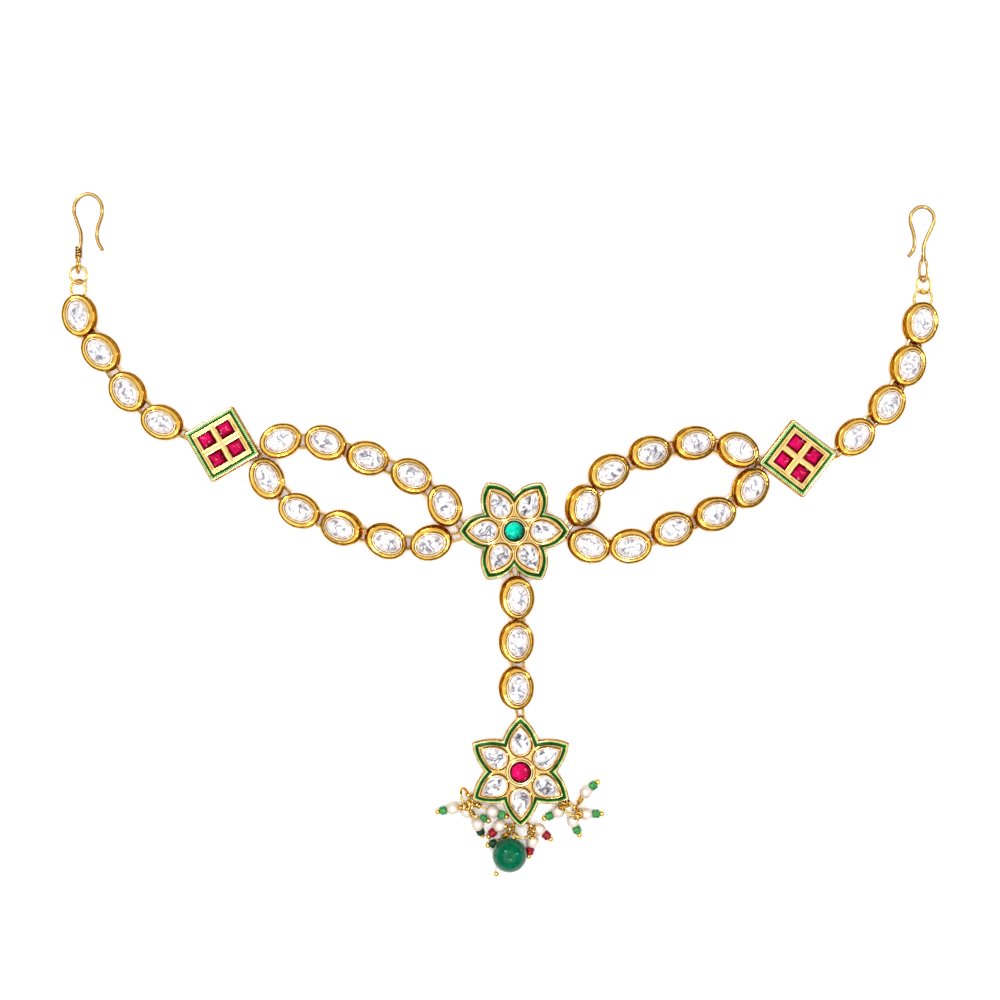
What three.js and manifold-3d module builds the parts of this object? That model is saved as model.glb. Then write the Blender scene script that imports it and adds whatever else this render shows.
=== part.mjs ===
// A matha patti: a jewel worn along the parting and the hairline, laid face up on a flat surface.
// A hook at each end, two side chains of oval links that divide into loops between a square plaque
// and the middle flower, and a short chain that carries a second flower with a fringe of drops.
// Lengths are millimetres and angles degrees. +X runs along the jewel, +Y towards the hooks and +Z
// up from the surface. Places are measured from the middle flower's centre, and the whole jewel is
// set at the end with the middle of its footprint at the origin.
import * as THREE from "three";
import { mergeVertices } from "three/addons/utils/BufferGeometryUtils.js";
import Module from "manifold-3d";

const wasm = await Module();
wasm.setup();

const GAP = 0.3; // between one piece and the next
const SLIVER = 0.005; // edges shorter than this are closed up
const UP = new THREE.Vector3(0, 0, 1);
const { degToRad } = THREE.MathUtils;

// Links: ovals from the back to the stone, given by their half length and height.
const LINK_NARROWER = 0.9; // how much less each oval's half width is than its half length
const LINK_BACK = 4.45; // half length of the back flange
const LINK_RIM = { out: 4.35, up: 2.35 };
const LINK_BEZEL = { out: 3.2, up: 3.1 };
const LINK_STONE = { out: 2.4, up: 3.3 };
const FLANGE_THICK = 0.4;
const LINK_SIDES = 14;
const LUG = { wide: 2.2, narrow: 1.2, thick: 0.5, up: 0.7 };

// Flowers: petals with convex sides between a tip and a notch.
const PETALS = 6;
const PETAL_TIP = 11.7;
const PETAL_NOTCH = 7.5;
const TIP_INSET = 1.25; // how far a tip and a notch move in for each millimetre of inset
const NOTCH_INSET = 1.34;
const FLOWER_RIM = { wide: 0.4, up: 2.3 };
const FLOWER_CHANNEL = { wide: 0.75, up: 1.9 };
const FLOWER_FACE_UP = 2.5;
const PEAR = { inner: 3.5, outer: 9.35, half_wide: 2.1, up: 3.0 };
const ROUND_BEZEL = { outer: 3.1, inner: 2.4, up: 2.9 };
const ROUND_STONE = { radius: 2.06, up: 3.5 };

// Squares.
const SQUARE_SIDE = 11.75;
const SQUARE_RIM = { wide: 0.4, up: 2.3 };
const SQUARE_CHANNEL = { wide: 0.8, up: 1.9 };
const SQUARE_FACE_UP = 2.6;
const SQUARE_STONE = { side: 3.0, apart: 4.54, up: 2.9, sunk: 0.5 };

// Wires, rings and drops.
const HOOK_WIRE = 0.375; // radii
const EYE_WIRE = 0.27;
const RING_WIRE = 0.28;
const PEARL = 1.35;
const SEED = { radius: 0.88, half_long: 0.68 };
const HEAD = 0.6;
const PIN = 0.2;
const DROP_EYE = { radius: 0.75, wire: 0.17, slack: 0.12 };
const BIG_BEAD = 3.6;
const WHITE_BEAD = 0.65;

const gilt = new THREE.MeshStandardMaterial({ color: 0xd9a03a, metalness: 1, roughness: 0.25 });
const pearl = new THREE.MeshStandardMaterial({ color: 0xede3d0, metalness: 0, roughness: 0.3 });
const greenGlass = new THREE.MeshStandardMaterial({ color: 0x0b6b45, metalness: 0, roughness: 0.1 });
const redGlass = new THREE.MeshStandardMaterial({ color: 0xc0104a, metalness: 0, roughness: 0.1 });

// Hooks: the wire's route from its free tip over the bend and down to the knot, and the long eye
// below the knot, which is rolled about its length.
const HOOKS = {
  left_hook: {
    route: [
      { x: -86.5, y: 58.9 },
      { x: -87.6, y: 61.3 },
      { x: -87.6, y: 63.2 },
      { x: -86.6, y: 67.2 },
      { x: -87.3, y: 69.6 },
      { x: -89.5, y: 70.8 },
      { x: -91.7, y: 69.7 },
      { x: -92.5, y: 67.5 },
      { x: -91.9, y: 65.0 },
      { x: -91.0, y: 62.3 },
      { x: -91.2, y: 58.7 },
    ],
    knot: { x: -91.4, y: 58.4, radius: 0.75, long: 2.2 },
    eye: { x: -91.5, y: 56.1, half_long: 1.9, half_wide: 0.8, roll: 60 },
  },
  right_hook: {
    route: [
      { x: 82.8, y: 57.6 },
      { x: 83.8, y: 59.0 },
      { x: 84.1, y: 60.6 },
      { x: 83.8, y: 62.8 },
      { x: 83.2, y: 65.2 },
      { x: 83.7, y: 67.0 },
      { x: 85.6, y: 68.1 },
      { x: 87.5, y: 67.3 },
      { x: 88.2, y: 65.8 },
      { x: 87.8, y: 64.0 },
      { x: 86.7, y: 61.7 },
      { x: 86.0, y: 59.6 },
      { x: 85.9, y: 57.3 },
    ],
    knot: { x: 85.8, y: 57.2, radius: 0.5, long: 1.0 },
    eye: { x: 85.8, y: 54.7, half_long: 2.4, half_wide: 1.0, roll: 50 },
  },
};

// Jump rings: the centre, the radius of the wire's middle, and the roll about a line in the surface.
const RINGS = {
  left_ring_1: { x: -91.4, y: 53.7, up: 1.05, radius: 1.8, roll: 25, about: 90 },
  left_ring_2: { x: -91.4, y: 50.7, up: 1.15, radius: 1.95, roll: -25, about: 90 },
  right_ring_1: { x: 85.9, y: 51.6, up: 1.05, radius: 1.78, roll: 25, about: 90 },
  right_ring_2: { x: 85.7, y: 48.65, up: 1.1, radius: 1.92, roll: -25, about: 90 },
  left_drop_ring: { x: -10.25, y: -55.55, up: 2.8, radius: 1.95, roll: 110, about: -70 },
  lower_drop_ring: { x: 1.5, y: -62.4, up: 2.64, radius: 2.2, roll: -50, about: 0 },
  right_drop_ring: { x: 11.83, y: -58.2, up: 2.8, radius: 1.95, roll: 110, about: -31 },
};

// Small soldered eyes at the pendant flower's side tips, round the drop rings' wires.
const TIP_EYES = [
  { ring: "left_drop_ring", at: -90, x: -7.9, y: -55.3, up: 1.0 },
  { ring: "right_drop_ring", at: -130, x: 11.0, y: -55.9, up: 1.2 },
];

// Drops: where the eye hangs round its ring, the pearl's centre, the way the pin points and how far
// its head dips. One pin reaches on bare between its pearl and its seed bead.
const DROPS = {
  left_drop_1: { ring: "left_drop_ring", at: 20, x: -12.9, y: -58.1, up: 1.4, aim: 194, dip: 5 },
  left_drop_2: {
    ring: "left_drop_ring",
    at: -20,
    x: -10.0,
    y: -58.8,
    up: 1.4,
    aim: 337,
    dip: 3,
    reach: 1.7,
  },
  left_drop_3: { ring: "left_drop_ring", at: 3, x: -7.7, y: -61.2, up: 3.4, aim: 290, dip: 35 },
  left_drop_4: { ring: "left_drop_ring", at: -42, x: -4.6, y: -58.7, up: 2.0, aim: 339, dip: 15 },
  right_drop_1: { ring: "right_drop_ring", at: -180, x: 9.2, y: -58.8, up: 1.4, aim: 207, dip: 8 },
  right_drop_2: { ring: "right_drop_ring", at: 0, x: 12.3, y: -60.8, up: 1.4, aim: 294, dip: 8 },
  right_drop_3: { ring: "right_drop_ring", at: -25, x: 15.1, y: -59.3, up: 1.4, aim: 0, dip: 8 },
  right_drop_4: { ring: "right_drop_ring", at: -70, x: 15.0, y: -54.7, up: 1.4, aim: 40, dip: 8 },
  lower_drop_1: { ring: "lower_drop_ring", at: 160, x: -3.1, y: -61.8, up: 1.4, aim: 225, dip: 8 },
  lower_drop_3: { ring: "lower_drop_ring", at: -20, x: 3.8, y: -65.1, up: 1.4, aim: 255, dip: 8 },
  lower_drop_4: { ring: "lower_drop_ring", at: 12, x: 5.2, y: -62.5, up: 1.4, aim: 319, dip: 8 },
};
// Drops whose pin holds a seed bead only, given by the bead's centre.
const SEED_DROPS = {
  lower_drop_2: { ring: "lower_drop_ring", at: -170, x: -4.4, y: -65.6, up: 1.0, aim: 197, dip: 5 },
};
const BIG_DROP = { ring: "lower_drop_ring", at: -125, x: -1.0, y: -67.5, up: 3.65, aim: 237, dip: 20 };

// Each strand's links in order along it: the centre of the rim, the direction of the long axis,
// and how far and towards which side the link leans.
const STRANDS = {
  left_tail: [
    { x: -91.2, y: 45.1, turn: 99, lean: 4, toward: 180 },
    { x: -86.7, y: 37.4, turn: -48, lean: 5, toward: 230 },
    { x: -81.1, y: 29.1, turn: -57, lean: 5, toward: 230 },
    { x: -73.9, y: 22.7, turn: -24, lean: 5, toward: 240 },
  ],
  left_upper: [
    { x: -48.9, y: 18.9, turn: 20, lean: 4, toward: 0 },
    { x: -39.6, y: 18.6, turn: -20, lean: 4, toward: 90 },
    { x: -30.4, y: 15.2, turn: -13, lean: 14, toward: 350 },
    { x: -21.4, y: 11.6, turn: -27, lean: 9, toward: 30 },
    { x: -14.5, y: 5.5, turn: -68, lean: 7, toward: 75 },
  ],
  left_lower: [
    { x: -51.7, y: 11.1, turn: -64, lean: 9, toward: 50 },
    { x: -45.1, y: 4.3, turn: -23, lean: 2, toward: 90 },
    { x: -36.4, y: 0.6, turn: -20, lean: 14, toward: 200 },
    { x: -26.6, y: -2.2, turn: -25, lean: 14, toward: 335 },
    { x: -17.5, y: -2.7, turn: 18, lean: 12, toward: 255 },
  ],
  right_upper: [
    { x: 47.0, y: 17.1, turn: -27, lean: 10, toward: 30 },
    { x: 37.9, y: 18.4, turn: 8, lean: 14, toward: 0 },
    { x: 28.7, y: 16.3, turn: 12, lean: 15, toward: 355 },
    { x: 20.1, y: 12.3, turn: 30, lean: 13, toward: 350 },
    { x: 14.8, y: 5.2, turn: 73, lean: 22, toward: 350 },
  ],
  right_lower: [
    { x: 49.7, y: 9.0, turn: 56, lean: 15, toward: 0 },
    { x: 42.2, y: 3.6, turn: 12, lean: 13, toward: 5 },
    { x: 33.3, y: 0.4, turn: 20, lean: 12, toward: 0 },
    { x: 24.38, y: -3.3, turn: 8, lean: 6, toward: 280 },
    { x: 15.8, y: -3.0, turn: -20, lean: 8, toward: 10 },
  ],
  right_tail: [
    { x: 71.5, y: 19.7, turn: 42, lean: 5, toward: 0 },
    { x: 78.2, y: 26.4, turn: 62, lean: 6, toward: 340 },
    { x: 82.6, y: 34.6, turn: 70, lean: 8, toward: 350 },
    { x: 85.2, y: 43.5, turn: 78, lean: 6, toward: 0 },
  ],
  centre: [
    { x: 0.8, y: -14.1, turn: 92, lean: 14, toward: 330 },
    { x: 0.7, y: -23.2, turn: 88, lean: 12, toward: 350 },
    { x: 0.7, y: -32.9, turn: 90, lean: 13, toward: 350 },
  ],
};

const FLOWERS = {
  centre_flower: { x: 0, y: 0, turn: 0, bulge: 0.85, stone: greenGlass },
  pendant_flower: { x: 1.3, y: -50.35, turn: 30, bulge: 0.5, stone: redGlass },
};
const SQUARES = {
  left_square: { x: -61.2, y: 18.2, turn: 30 },
  right_square: { x: 59.4, y: 15.2, turn: 52.5 },
};

// The end links' lugs reach for a corner or a tip of the plaque that the strand hangs on.
const STRAND_ENDS = [
  { strand: "left_tail", last: true, plaque: "left_square", x: -68.9, y: 20.2 },
  { strand: "left_upper", last: false, plaque: "left_square", x: -53.6, y: 16.6 },
  { strand: "left_lower", last: false, plaque: "left_square", x: -53.8, y: 15.0 },
  { strand: "left_upper", last: true, plaque: "centre_flower", x: -11.2, y: 1.0 },
  { strand: "left_lower", last: true, plaque: "centre_flower", x: -11.2, y: -1.0 },
  { strand: "right_upper", last: true, plaque: "centre_flower", x: 11.2, y: 1.0 },
  { strand: "right_lower", last: true, plaque: "centre_flower", x: 11.2, y: -1.0 },
  { strand: "right_upper", last: false, plaque: "right_square", x: 51.2, y: 14.8 },
  { strand: "right_lower", last: false, plaque: "right_square", x: 51.2, y: 13.2 },
  { strand: "right_tail", last: false, plaque: "right_square", x: 67.6, y: 16.4 },
  { strand: "centre", last: false, plaque: "centre_flower", x: 0, y: -7.4 },
  { strand: "centre", last: true, plaque: "pendant_flower", x: 1.3, y: -38.9 },
];

// ---------------------------------------------------------------- solids

function solidFrom(geometry) {
  const bare = geometry.index ? geometry.toNonIndexed() : geometry.clone();
  bare.deleteAttribute("normal");
  bare.deleteAttribute("uv");
  const merged = mergeVertices(bare, 1e-4);
  return new wasm.Manifold(
    new wasm.Mesh({
      numProp: 3,
      vertProperties: merged.attributes.position.array,
      triVerts: new Uint32Array(merged.index.array),
    }),
  );
}

function geometryFrom(solid) {
  const { vertProperties, triVerts } = solid.getMesh();
  const geometry = new THREE.BufferGeometry();
  geometry.setAttribute("position", new THREE.BufferAttribute(vertProperties, 3));
  geometry.setIndex(new THREE.BufferAttribute(triVerts, 1));
  return geometry;
}

// A solid of revolution about +Z from rows of { out, up }, bottom to top.
function turned(rows, sides) {
  const profile = rows.map(({ out, up }) => new THREE.Vector2(out, up));
  return new THREE.LatheGeometry(profile, sides).rotateX(Math.PI / 2);
}

// A shape's plate between two heights.
function plate(shape, low, high, curveSegments = 3) {
  const options = { depth: high - low, bevelEnabled: false, curveSegments };
  return new THREE.ExtrudeGeometry(shape, options).translate(0, 0, low);
}

// A round wire along a curve.
function wire(curve, radius, sides, steps) {
  const section = new THREE.Shape();
  for (let i = 0; i < sides; i++) {
    const a = (i / sides) * 2 * Math.PI;
    const x = radius * Math.cos(a);
    const y = radius * Math.sin(a);
    if (i === 0) section.moveTo(x, y);
    else section.lineTo(x, y);
  }
  section.closePath();
  return new THREE.ExtrudeGeometry(section, { steps, extrudePath: curve });
}

function joined(geometries) {
  return geometries.map(solidFrom).reduce((whole, next) => whole.add(next)).simplify(SLIVER);
}

// ---------------------------------------------------------------- links

function linkGeometry(grown = 0) {
  const rows = [
    { out: 0, up: -grown },
    { out: LINK_BACK + grown, up: -grown },
    { out: LINK_BACK + grown, up: FLANGE_THICK + grown },
    { out: LINK_RIM.out + grown, up: LINK_RIM.up },
    { out: LINK_BEZEL.out, up: LINK_BEZEL.up + grown },
    { out: LINK_STONE.out, up: LINK_STONE.up + grown },
    { out: 0, up: LINK_STONE.up + grown },
  ];
  return ovalled(turned(rows, LINK_SIDES));
}

// Draws a turned shape in along Y by the same amount all the way up, so that its rims keep their width.
function ovalled(geometry) {
  const places = geometry.attributes.position;
  for (let i = 0; i < places.count; i++) {
    const radius = Math.hypot(places.getX(i), places.getY(i));
    const share = radius > LINK_NARROWER ? 1 - LINK_NARROWER / radius : 0;
    places.setY(i, places.getY(i) * share);
  }
  return geometry;
}

// Turns a link about its rim's centre and lets it down until its lowest edge meets the surface.
function linkPlace({ x, y, turn, lean, toward }) {
  const over = degToRad(toward + 90);
  const hinge = new THREE.Vector3(Math.cos(over), Math.sin(over), 0);
  const place = new THREE.Matrix4().makeRotationAxis(hinge, degToRad(lean));
  place.multiply(new THREE.Matrix4().makeRotationZ(degToRad(turn)));
  place.multiply(new THREE.Matrix4().makeTranslation(0, 0, -LINK_RIM.up));
  const low = linkGeometry().applyMatrix4(place);
  low.computeBoundingBox();
  return place.premultiply(new THREE.Matrix4().makeTranslation(x, y, -low.boundingBox.min.z));
}

// A lug from the middle of a link towards a point, cut short of the piece that it reaches for.
function lug(place, target, neighbour, wide = LUG.wide) {
  const start = new THREE.Vector3(0, 0, LUG.up).applyMatrix4(place);
  const way = target.clone().sub(start);
  const bar = new THREE.BoxGeometry(way.length(), wide, LUG.thick);
  bar.translate(way.length() / 2, 0, 0);
  const along = way.clone().normalize();
  const across = UP.clone().cross(along).normalize();
  const frame = new THREE.Matrix4().makeBasis(along, across, along.clone().cross(across));
  return solidFrom(bar.applyMatrix4(frame.setPosition(start))).subtract(neighbour);
}

// ---------------------------------------------------------------- plaques

// One side of a petal bulges as an arc would: a quadratic curve through the bulge's top.
const flowerOutline = (bulge) => (inset) => {
  const tip = PETAL_TIP - TIP_INSET * inset;
  const notch = PETAL_NOTCH - NOTCH_INSET * inset;
  const half = Math.PI / PETALS;
  const at = (radius, angle) =>
    new THREE.Vector2(radius * Math.cos(angle), radius * Math.sin(angle));
  const shape = new THREE.Shape();
  shape.moveTo(tip, 0);
  for (let i = 1; i <= 2 * PETALS; i++) {
    const from = at(i % 2 ? tip : notch, (i - 1) * half);
    const to = at(i % 2 ? notch : tip, i * half);
    const chord = to.clone().sub(from);
    const outward = new THREE.Vector2(chord.y, -chord.x).normalize();
    const crest = from.clone().add(to).multiplyScalar(0.5).addScaledVector(outward, 2 * bulge);
    shape.quadraticCurveTo(crest.x, crest.y, to.x, to.y);
  }
  return shape;
};

function squareOutline(inset) {
  const half = SQUARE_SIDE / 2 - inset;
  const shape = new THREE.Shape();
  shape.moveTo(-half, -half);
  shape.lineTo(half, -half);
  shape.lineTo(half, half);
  shape.lineTo(-half, half);
  shape.closePath();
  return shape;
}

// A plaque's body: a rim, a sunk channel for enamel and a face that stands above both.
function plaqueBody(outline, rim, channel, faceUp) {
  const body = solidFrom(plate(outline(0), 0, rim.up));
  const sunk = solidFrom(plate(outline(rim.wide), channel.up, rim.up + 1));
  const face = solidFrom(plate(outline(rim.wide + channel.wide), channel.up - 1, faceUp));
  return body.subtract(sunk).add(face);
}

function pearOutline() {
  const { inner, outer, half_wide: wide } = PEAR;
  const shape = new THREE.Shape();
  shape.moveTo(outer, 0);
  shape.bezierCurveTo(outer - 1.3, wide * 0.75, inner + 3.2, wide, inner + wide, wide);
  shape.absarc(inner + wide, 0, wide, Math.PI / 2, (3 * Math.PI) / 2, false);
  shape.bezierCurveTo(inner + 3.2, -wide, outer - 1.3, -wide * 0.75, outer, 0);
  return shape;
}

function flowerSolid(bulge) {
  let whole = plaqueBody(flowerOutline(bulge), FLOWER_RIM, FLOWER_CHANNEL, FLOWER_FACE_UP);
  for (let i = 0; i < PETALS; i++) {
    const stone = plate(pearOutline(), FLOWER_FACE_UP - 0.2, PEAR.up, 3);
    whole = whole.add(solidFrom(stone.rotateZ((i * 2 * Math.PI) / PETALS)));
  }
  const bezel = turned(
    [
      { out: 0, up: FLOWER_FACE_UP - 0.2 },
      { out: ROUND_BEZEL.outer, up: FLOWER_FACE_UP - 0.2 },
      { out: ROUND_BEZEL.outer, up: ROUND_BEZEL.up },
      { out: ROUND_BEZEL.inner, up: ROUND_BEZEL.up },
      { out: ROUND_BEZEL.inner, up: FLOWER_FACE_UP },
      { out: 0, up: FLOWER_FACE_UP },
    ],
    24,
  );
  return whole.add(solidFrom(bezel));
}

// A low dome on a short straight girdle, seated in its bezel.
function roundStone() {
  const foot = FLOWER_FACE_UP + GAP;
  const girdle = foot + 0.3;
  const rows = [{ out: 0, up: foot }];
  rows.push({ out: ROUND_STONE.radius, up: foot });
  const steps = 4;
  for (let i = 0; i < steps; i++) {
    const a = (i / steps) * (Math.PI / 2);
    const up = girdle + (ROUND_STONE.up - girdle) * Math.sin(a);
    rows.push({ out: ROUND_STONE.radius * Math.cos(a), up });
  }
  rows.push({ out: 0, up: ROUND_STONE.up });
  return turned(rows, 20);
}

function squareSolid() {
  let whole = plaqueBody(squareOutline, SQUARE_RIM, SQUARE_CHANNEL, SQUARE_FACE_UP);
  const { side, apart, up, sunk } = SQUARE_STONE;
  for (const x of [-apart / 2, apart / 2]) {
    for (const y of [-apart / 2, apart / 2]) {
      const recess = new THREE.BoxGeometry(side + 0.1, side + 0.1, sunk * 2);
      whole = whole.subtract(solidFrom(recess.translate(x, y, SQUARE_FACE_UP)));
      const stone = new THREE.BoxGeometry(side - 0.5, side - 0.5, up - 1.5);
      whole = whole.add(solidFrom(stone.translate(x, y, (up + 1.5) / 2)));
    }
  }
  return whole;
}

// ---------------------------------------------------------------- hooks and rings

// A ring's middle, the two directions that its plane holds, and a point of its wire's middle.
function ringFrame({ x, y, up, roll, about }) {
  const along = new THREE.Vector3(Math.cos(degToRad(about)), Math.sin(degToRad(about)), 0);
  const across = UP.clone().cross(along).applyAxisAngle(along, degToRad(roll));
  return { middle: new THREE.Vector3(x, y, up), along, across };
}

function ringGeometry(ring, wireRadius) {
  const { middle, along, across } = ringFrame(ring);
  const place = new THREE.Matrix4().makeBasis(along, across, along.clone().cross(across));
  const torus = new THREE.TorusGeometry(ring.radius, wireRadius, 6, 14);
  return torus.applyMatrix4(place.setPosition(middle));
}

// A small round eye that a ring's wire runs through, and a shank from it to a target.
function eyeOnRing(ring, at, target) {
  const { middle, along, across } = ringFrame(ring);
  const a = degToRad(at);
  const centre = middle.clone().addScaledVector(along, ring.radius * Math.cos(a));
  centre.addScaledVector(across, ring.radius * Math.sin(a));
  const way = target.clone().sub(centre).normalize();
  centre.addScaledVector(way, DROP_EYE.slack);
  const tangent = across.clone().multiplyScalar(Math.cos(a)).addScaledVector(along, -Math.sin(a));
  const normal = tangent.addScaledVector(way, -tangent.dot(way)).normalize();
  const long = target.distanceTo(centre) - DROP_EYE.radius;
  const shank = new THREE.CylinderGeometry(PIN, PIN, long, 5);
  shank.rotateZ(-Math.PI / 2).translate(DROP_EYE.radius + long / 2, 0, 0);
  const eye = new THREE.TorusGeometry(DROP_EYE.radius, DROP_EYE.wire, 4, 9);
  const place = new THREE.Matrix4().makeBasis(way, normal.clone().cross(way), normal);
  place.setPosition(centre);
  return [shank.applyMatrix4(place), eye.applyMatrix4(place)];
}

function hookSolid({ route, knot, eye }) {
  const eyeUp = eye.half_wide * Math.sin(degToRad(eye.roll)) + EYE_WIRE + 0.03;
  const points = route.map(({ x, y }) => new THREE.Vector3(x, y, HOOK_WIRE + 0.03));
  points.at(-2).z += 0.3 * (eyeUp - HOOK_WIRE);
  points.at(-1).z = eyeUp;
  const bend = wire(new THREE.CatmullRomCurve3(points), HOOK_WIRE, 6, 28);
  const barrel = new THREE.CylinderGeometry(knot.radius, knot.radius, knot.long, 10);
  barrel.translate(knot.x, knot.y, eyeUp);
  const roll = degToRad(eye.roll);
  const loop = [];
  const steps = 12;
  for (let i = 1; i < steps; i++) {
    const a = Math.PI / 2 + (i / steps) * 2 * Math.PI;
    const across = eye.half_wide * Math.cos(a);
    const x = eye.x + across * Math.cos(roll);
    const y = eye.y + eye.half_long * Math.sin(a);
    loop.push(new THREE.Vector3(x, y, eyeUp + across * Math.sin(roll)));
  }
  return joined([bend, barrel, wire(new THREE.CatmullRomCurve3(loop), EYE_WIRE, 6, 14)]);
}

// ---------------------------------------------------------------- drops

function arcRows(centre, radius, from, to, steps) {
  const rows = [];
  for (let i = 0; i <= steps; i++) {
    const a = degToRad(from + ((to - from) * i) / steps);
    rows.push({ out: radius * Math.sin(a), up: centre - radius * Math.cos(a) });
  }
  return rows;
}

function seedRows(centre) {
  const { radius, half_long: half } = SEED;
  return [
    { out: PIN, up: centre - half },
    { out: radius, up: centre - 0.6 * half },
    { out: radius, up: centre + 0.6 * half },
    { out: PIN, up: centre + half },
  ];
}

const headRows = (centre) => arcRows(centre, HEAD, 20, 180, 3);
const beadRows = (centre, radius, steps) => arcRows(centre, radius, 0, 170, steps);

// Lays a turned string of beads along the pin's way, its origin at a point.
function laid(rows, sides, { x, y, up, aim, dip }) {
  const flat = Math.cos(degToRad(dip));
  const way = new THREE.Vector3(
    flat * Math.cos(degToRad(aim)),
    flat * Math.sin(degToRad(aim)),
    -Math.sin(degToRad(dip)),
  );
  const turn = new THREE.Quaternion().setFromUnitVectors(UP, way);
  const place = new THREE.Matrix4().makeRotationFromQuaternion(turn);
  return turned(rows, sides).applyMatrix4(place.setPosition(x, y, up));
}

const pinEye = ({ ring, at, x, y, up }) => eyeOnRing(RINGS[ring], at, new THREE.Vector3(x, y, up));

const SEED_ALONG = 2.05; // from a pearl's centre to its seed bead's and its head's
const HEAD_ALONG = 3.25;

function pearlDrop(drop) {
  const { reach = 0 } = drop;
  const beyond = [...seedRows(SEED_ALONG + reach), ...headRows(HEAD_ALONG + reach)];
  const rows = [...beadRows(0, PEARL, 5), ...beyond];
  return joined([laid(rows, 7, drop), ...pinEye(drop)]);
}

function seedDrop(drop) {
  const foot = { out: 0, up: -SEED.half_long };
  const rows = [foot, ...seedRows(0), ...headRows(HEAD_ALONG - SEED_ALONG)];
  return joined([laid(rows, 7, drop), ...pinEye(drop)]);
}

function bigDrop(drop) {
  const white = BIG_BEAD + WHITE_BEAD;
  const head = white + WHITE_BEAD + 0.8 * HEAD;
  const rows = [...beadRows(0, BIG_BEAD, 8), ...arcRows(white, WHITE_BEAD, 30, 160, 3)];
  return joined([laid([...rows, ...headRows(head)], 14, drop), ...pinEye(drop)]);
}

// ---------------------------------------------------------------- the whole jewel

const jewel = new THREE.Group();

function add(name, solid, material) {
  const mesh = new THREE.Mesh(geometryFrom(solid), material);
  mesh.name = name;
  jewel.add(mesh);
}

function placed(geometry, { x, y, turn }) {
  return geometry.rotateZ(degToRad(turn)).translate(x, y, 0);
}

function moved(solid, { x, y, turn }) {
  return solid.rotate([0, 0, turn]).translate([x, y, 0]);
}

// The room that a link or a plaque needs about it, which a neighbour's lug stops at.
const linkRoom = (place) => solidFrom(linkGeometry(GAP).applyMatrix4(place));
function plaqueRoom(name) {
  const square = SQUARES[name];
  if (square) return solidFrom(placed(plate(squareOutline(-GAP), -GAP, 5), square));
  const row = FLOWERS[name];
  return solidFrom(placed(plate(flowerOutline(row.bulge)(-GAP), -GAP, 5), row));
}

const ringRoom = (name) => solidFrom(ringGeometry(RINGS[name], RING_WIRE + GAP));

for (const [strand, rows] of Object.entries(STRANDS)) {
  const places = rows.map(linkPlace);
  places.forEach((place, i) => {
    let solid = solidFrom(linkGeometry().applyMatrix4(place));
    if (i + 1 < places.length) {
      const target = new THREE.Vector3(0, 0, LUG.up).applyMatrix4(places[i + 1]);
      solid = solid.add(lug(place, target, linkRoom(places[i + 1])));
    }
    const reaches = (row) => row.strand === strand && i === (row.last ? rows.length - 1 : 0);
    const end = STRAND_ENDS.find(reaches);
    if (end) {
      const target = new THREE.Vector3(end.x, end.y, LUG.up);
      solid = solid.add(lug(place, target, plaqueRoom(end.plaque), LUG.narrow));
    }
    if (strand === "left_tail" && i === 0) solid = solid.subtract(ringRoom("left_ring_2"));
    if (strand === "right_tail" && i === 3) solid = solid.subtract(ringRoom("right_ring_2"));
    add(`${strand}_link_${i + 1}`, solid, gilt);
  });
}

for (const [name, row] of Object.entries(SQUARES)) add(name, moved(squareSolid(), row), gilt);

for (const [name, row] of Object.entries(FLOWERS)) {
  let solid = moved(flowerSolid(row.bulge), row);
  if (name === "pendant_flower") {
    solid = solid.subtract(ringRoom("lower_drop_ring"));
    for (const { ring, at, x, y, up } of TIP_EYES) {
      solid = solid.add(joined(eyeOnRing(RINGS[ring], at, new THREE.Vector3(x, y, up))));
    }
  }
  add(name, solid, gilt);
  add(`${name}_stone`, solidFrom(placed(roundStone(), row)), row.stone);
}

for (const [name, hook] of Object.entries(HOOKS)) add(name, hookSolid(hook), gilt);
for (const [name, ring] of Object.entries(RINGS)) {
  add(name, solidFrom(ringGeometry(ring, RING_WIRE)), gilt);
}
for (const [name, drop] of Object.entries(DROPS)) add(name, pearlDrop(drop), pearl);
for (const [name, drop] of Object.entries(SEED_DROPS)) add(name, seedDrop(drop), greenGlass);
add("big_bead_drop", bigDrop(BIG_DROP), greenGlass);

// The origin is the middle of the jewel's footprint, on the surface that it lies on.
const whole = new THREE.Box3().setFromObject(jewel, true);
const middle = whole.getCenter(new THREE.Vector3());
jewel.position.set(-middle.x, -middle.y, -whole.min.z);

export default jewel;
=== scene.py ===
"""A matha patti laid face up: gilt links with polki stones, two enamelled flowers, two enamelled
squares, a hook at each end and a fringe of pearl drops.

Shapes are worked in millimetres from the middle flower's centre, and each finished shell is put
into the frame's metres in its own mesh."""

import math
import random

import bmesh
import bpy
from mathutils import Matrix, Vector


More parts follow.
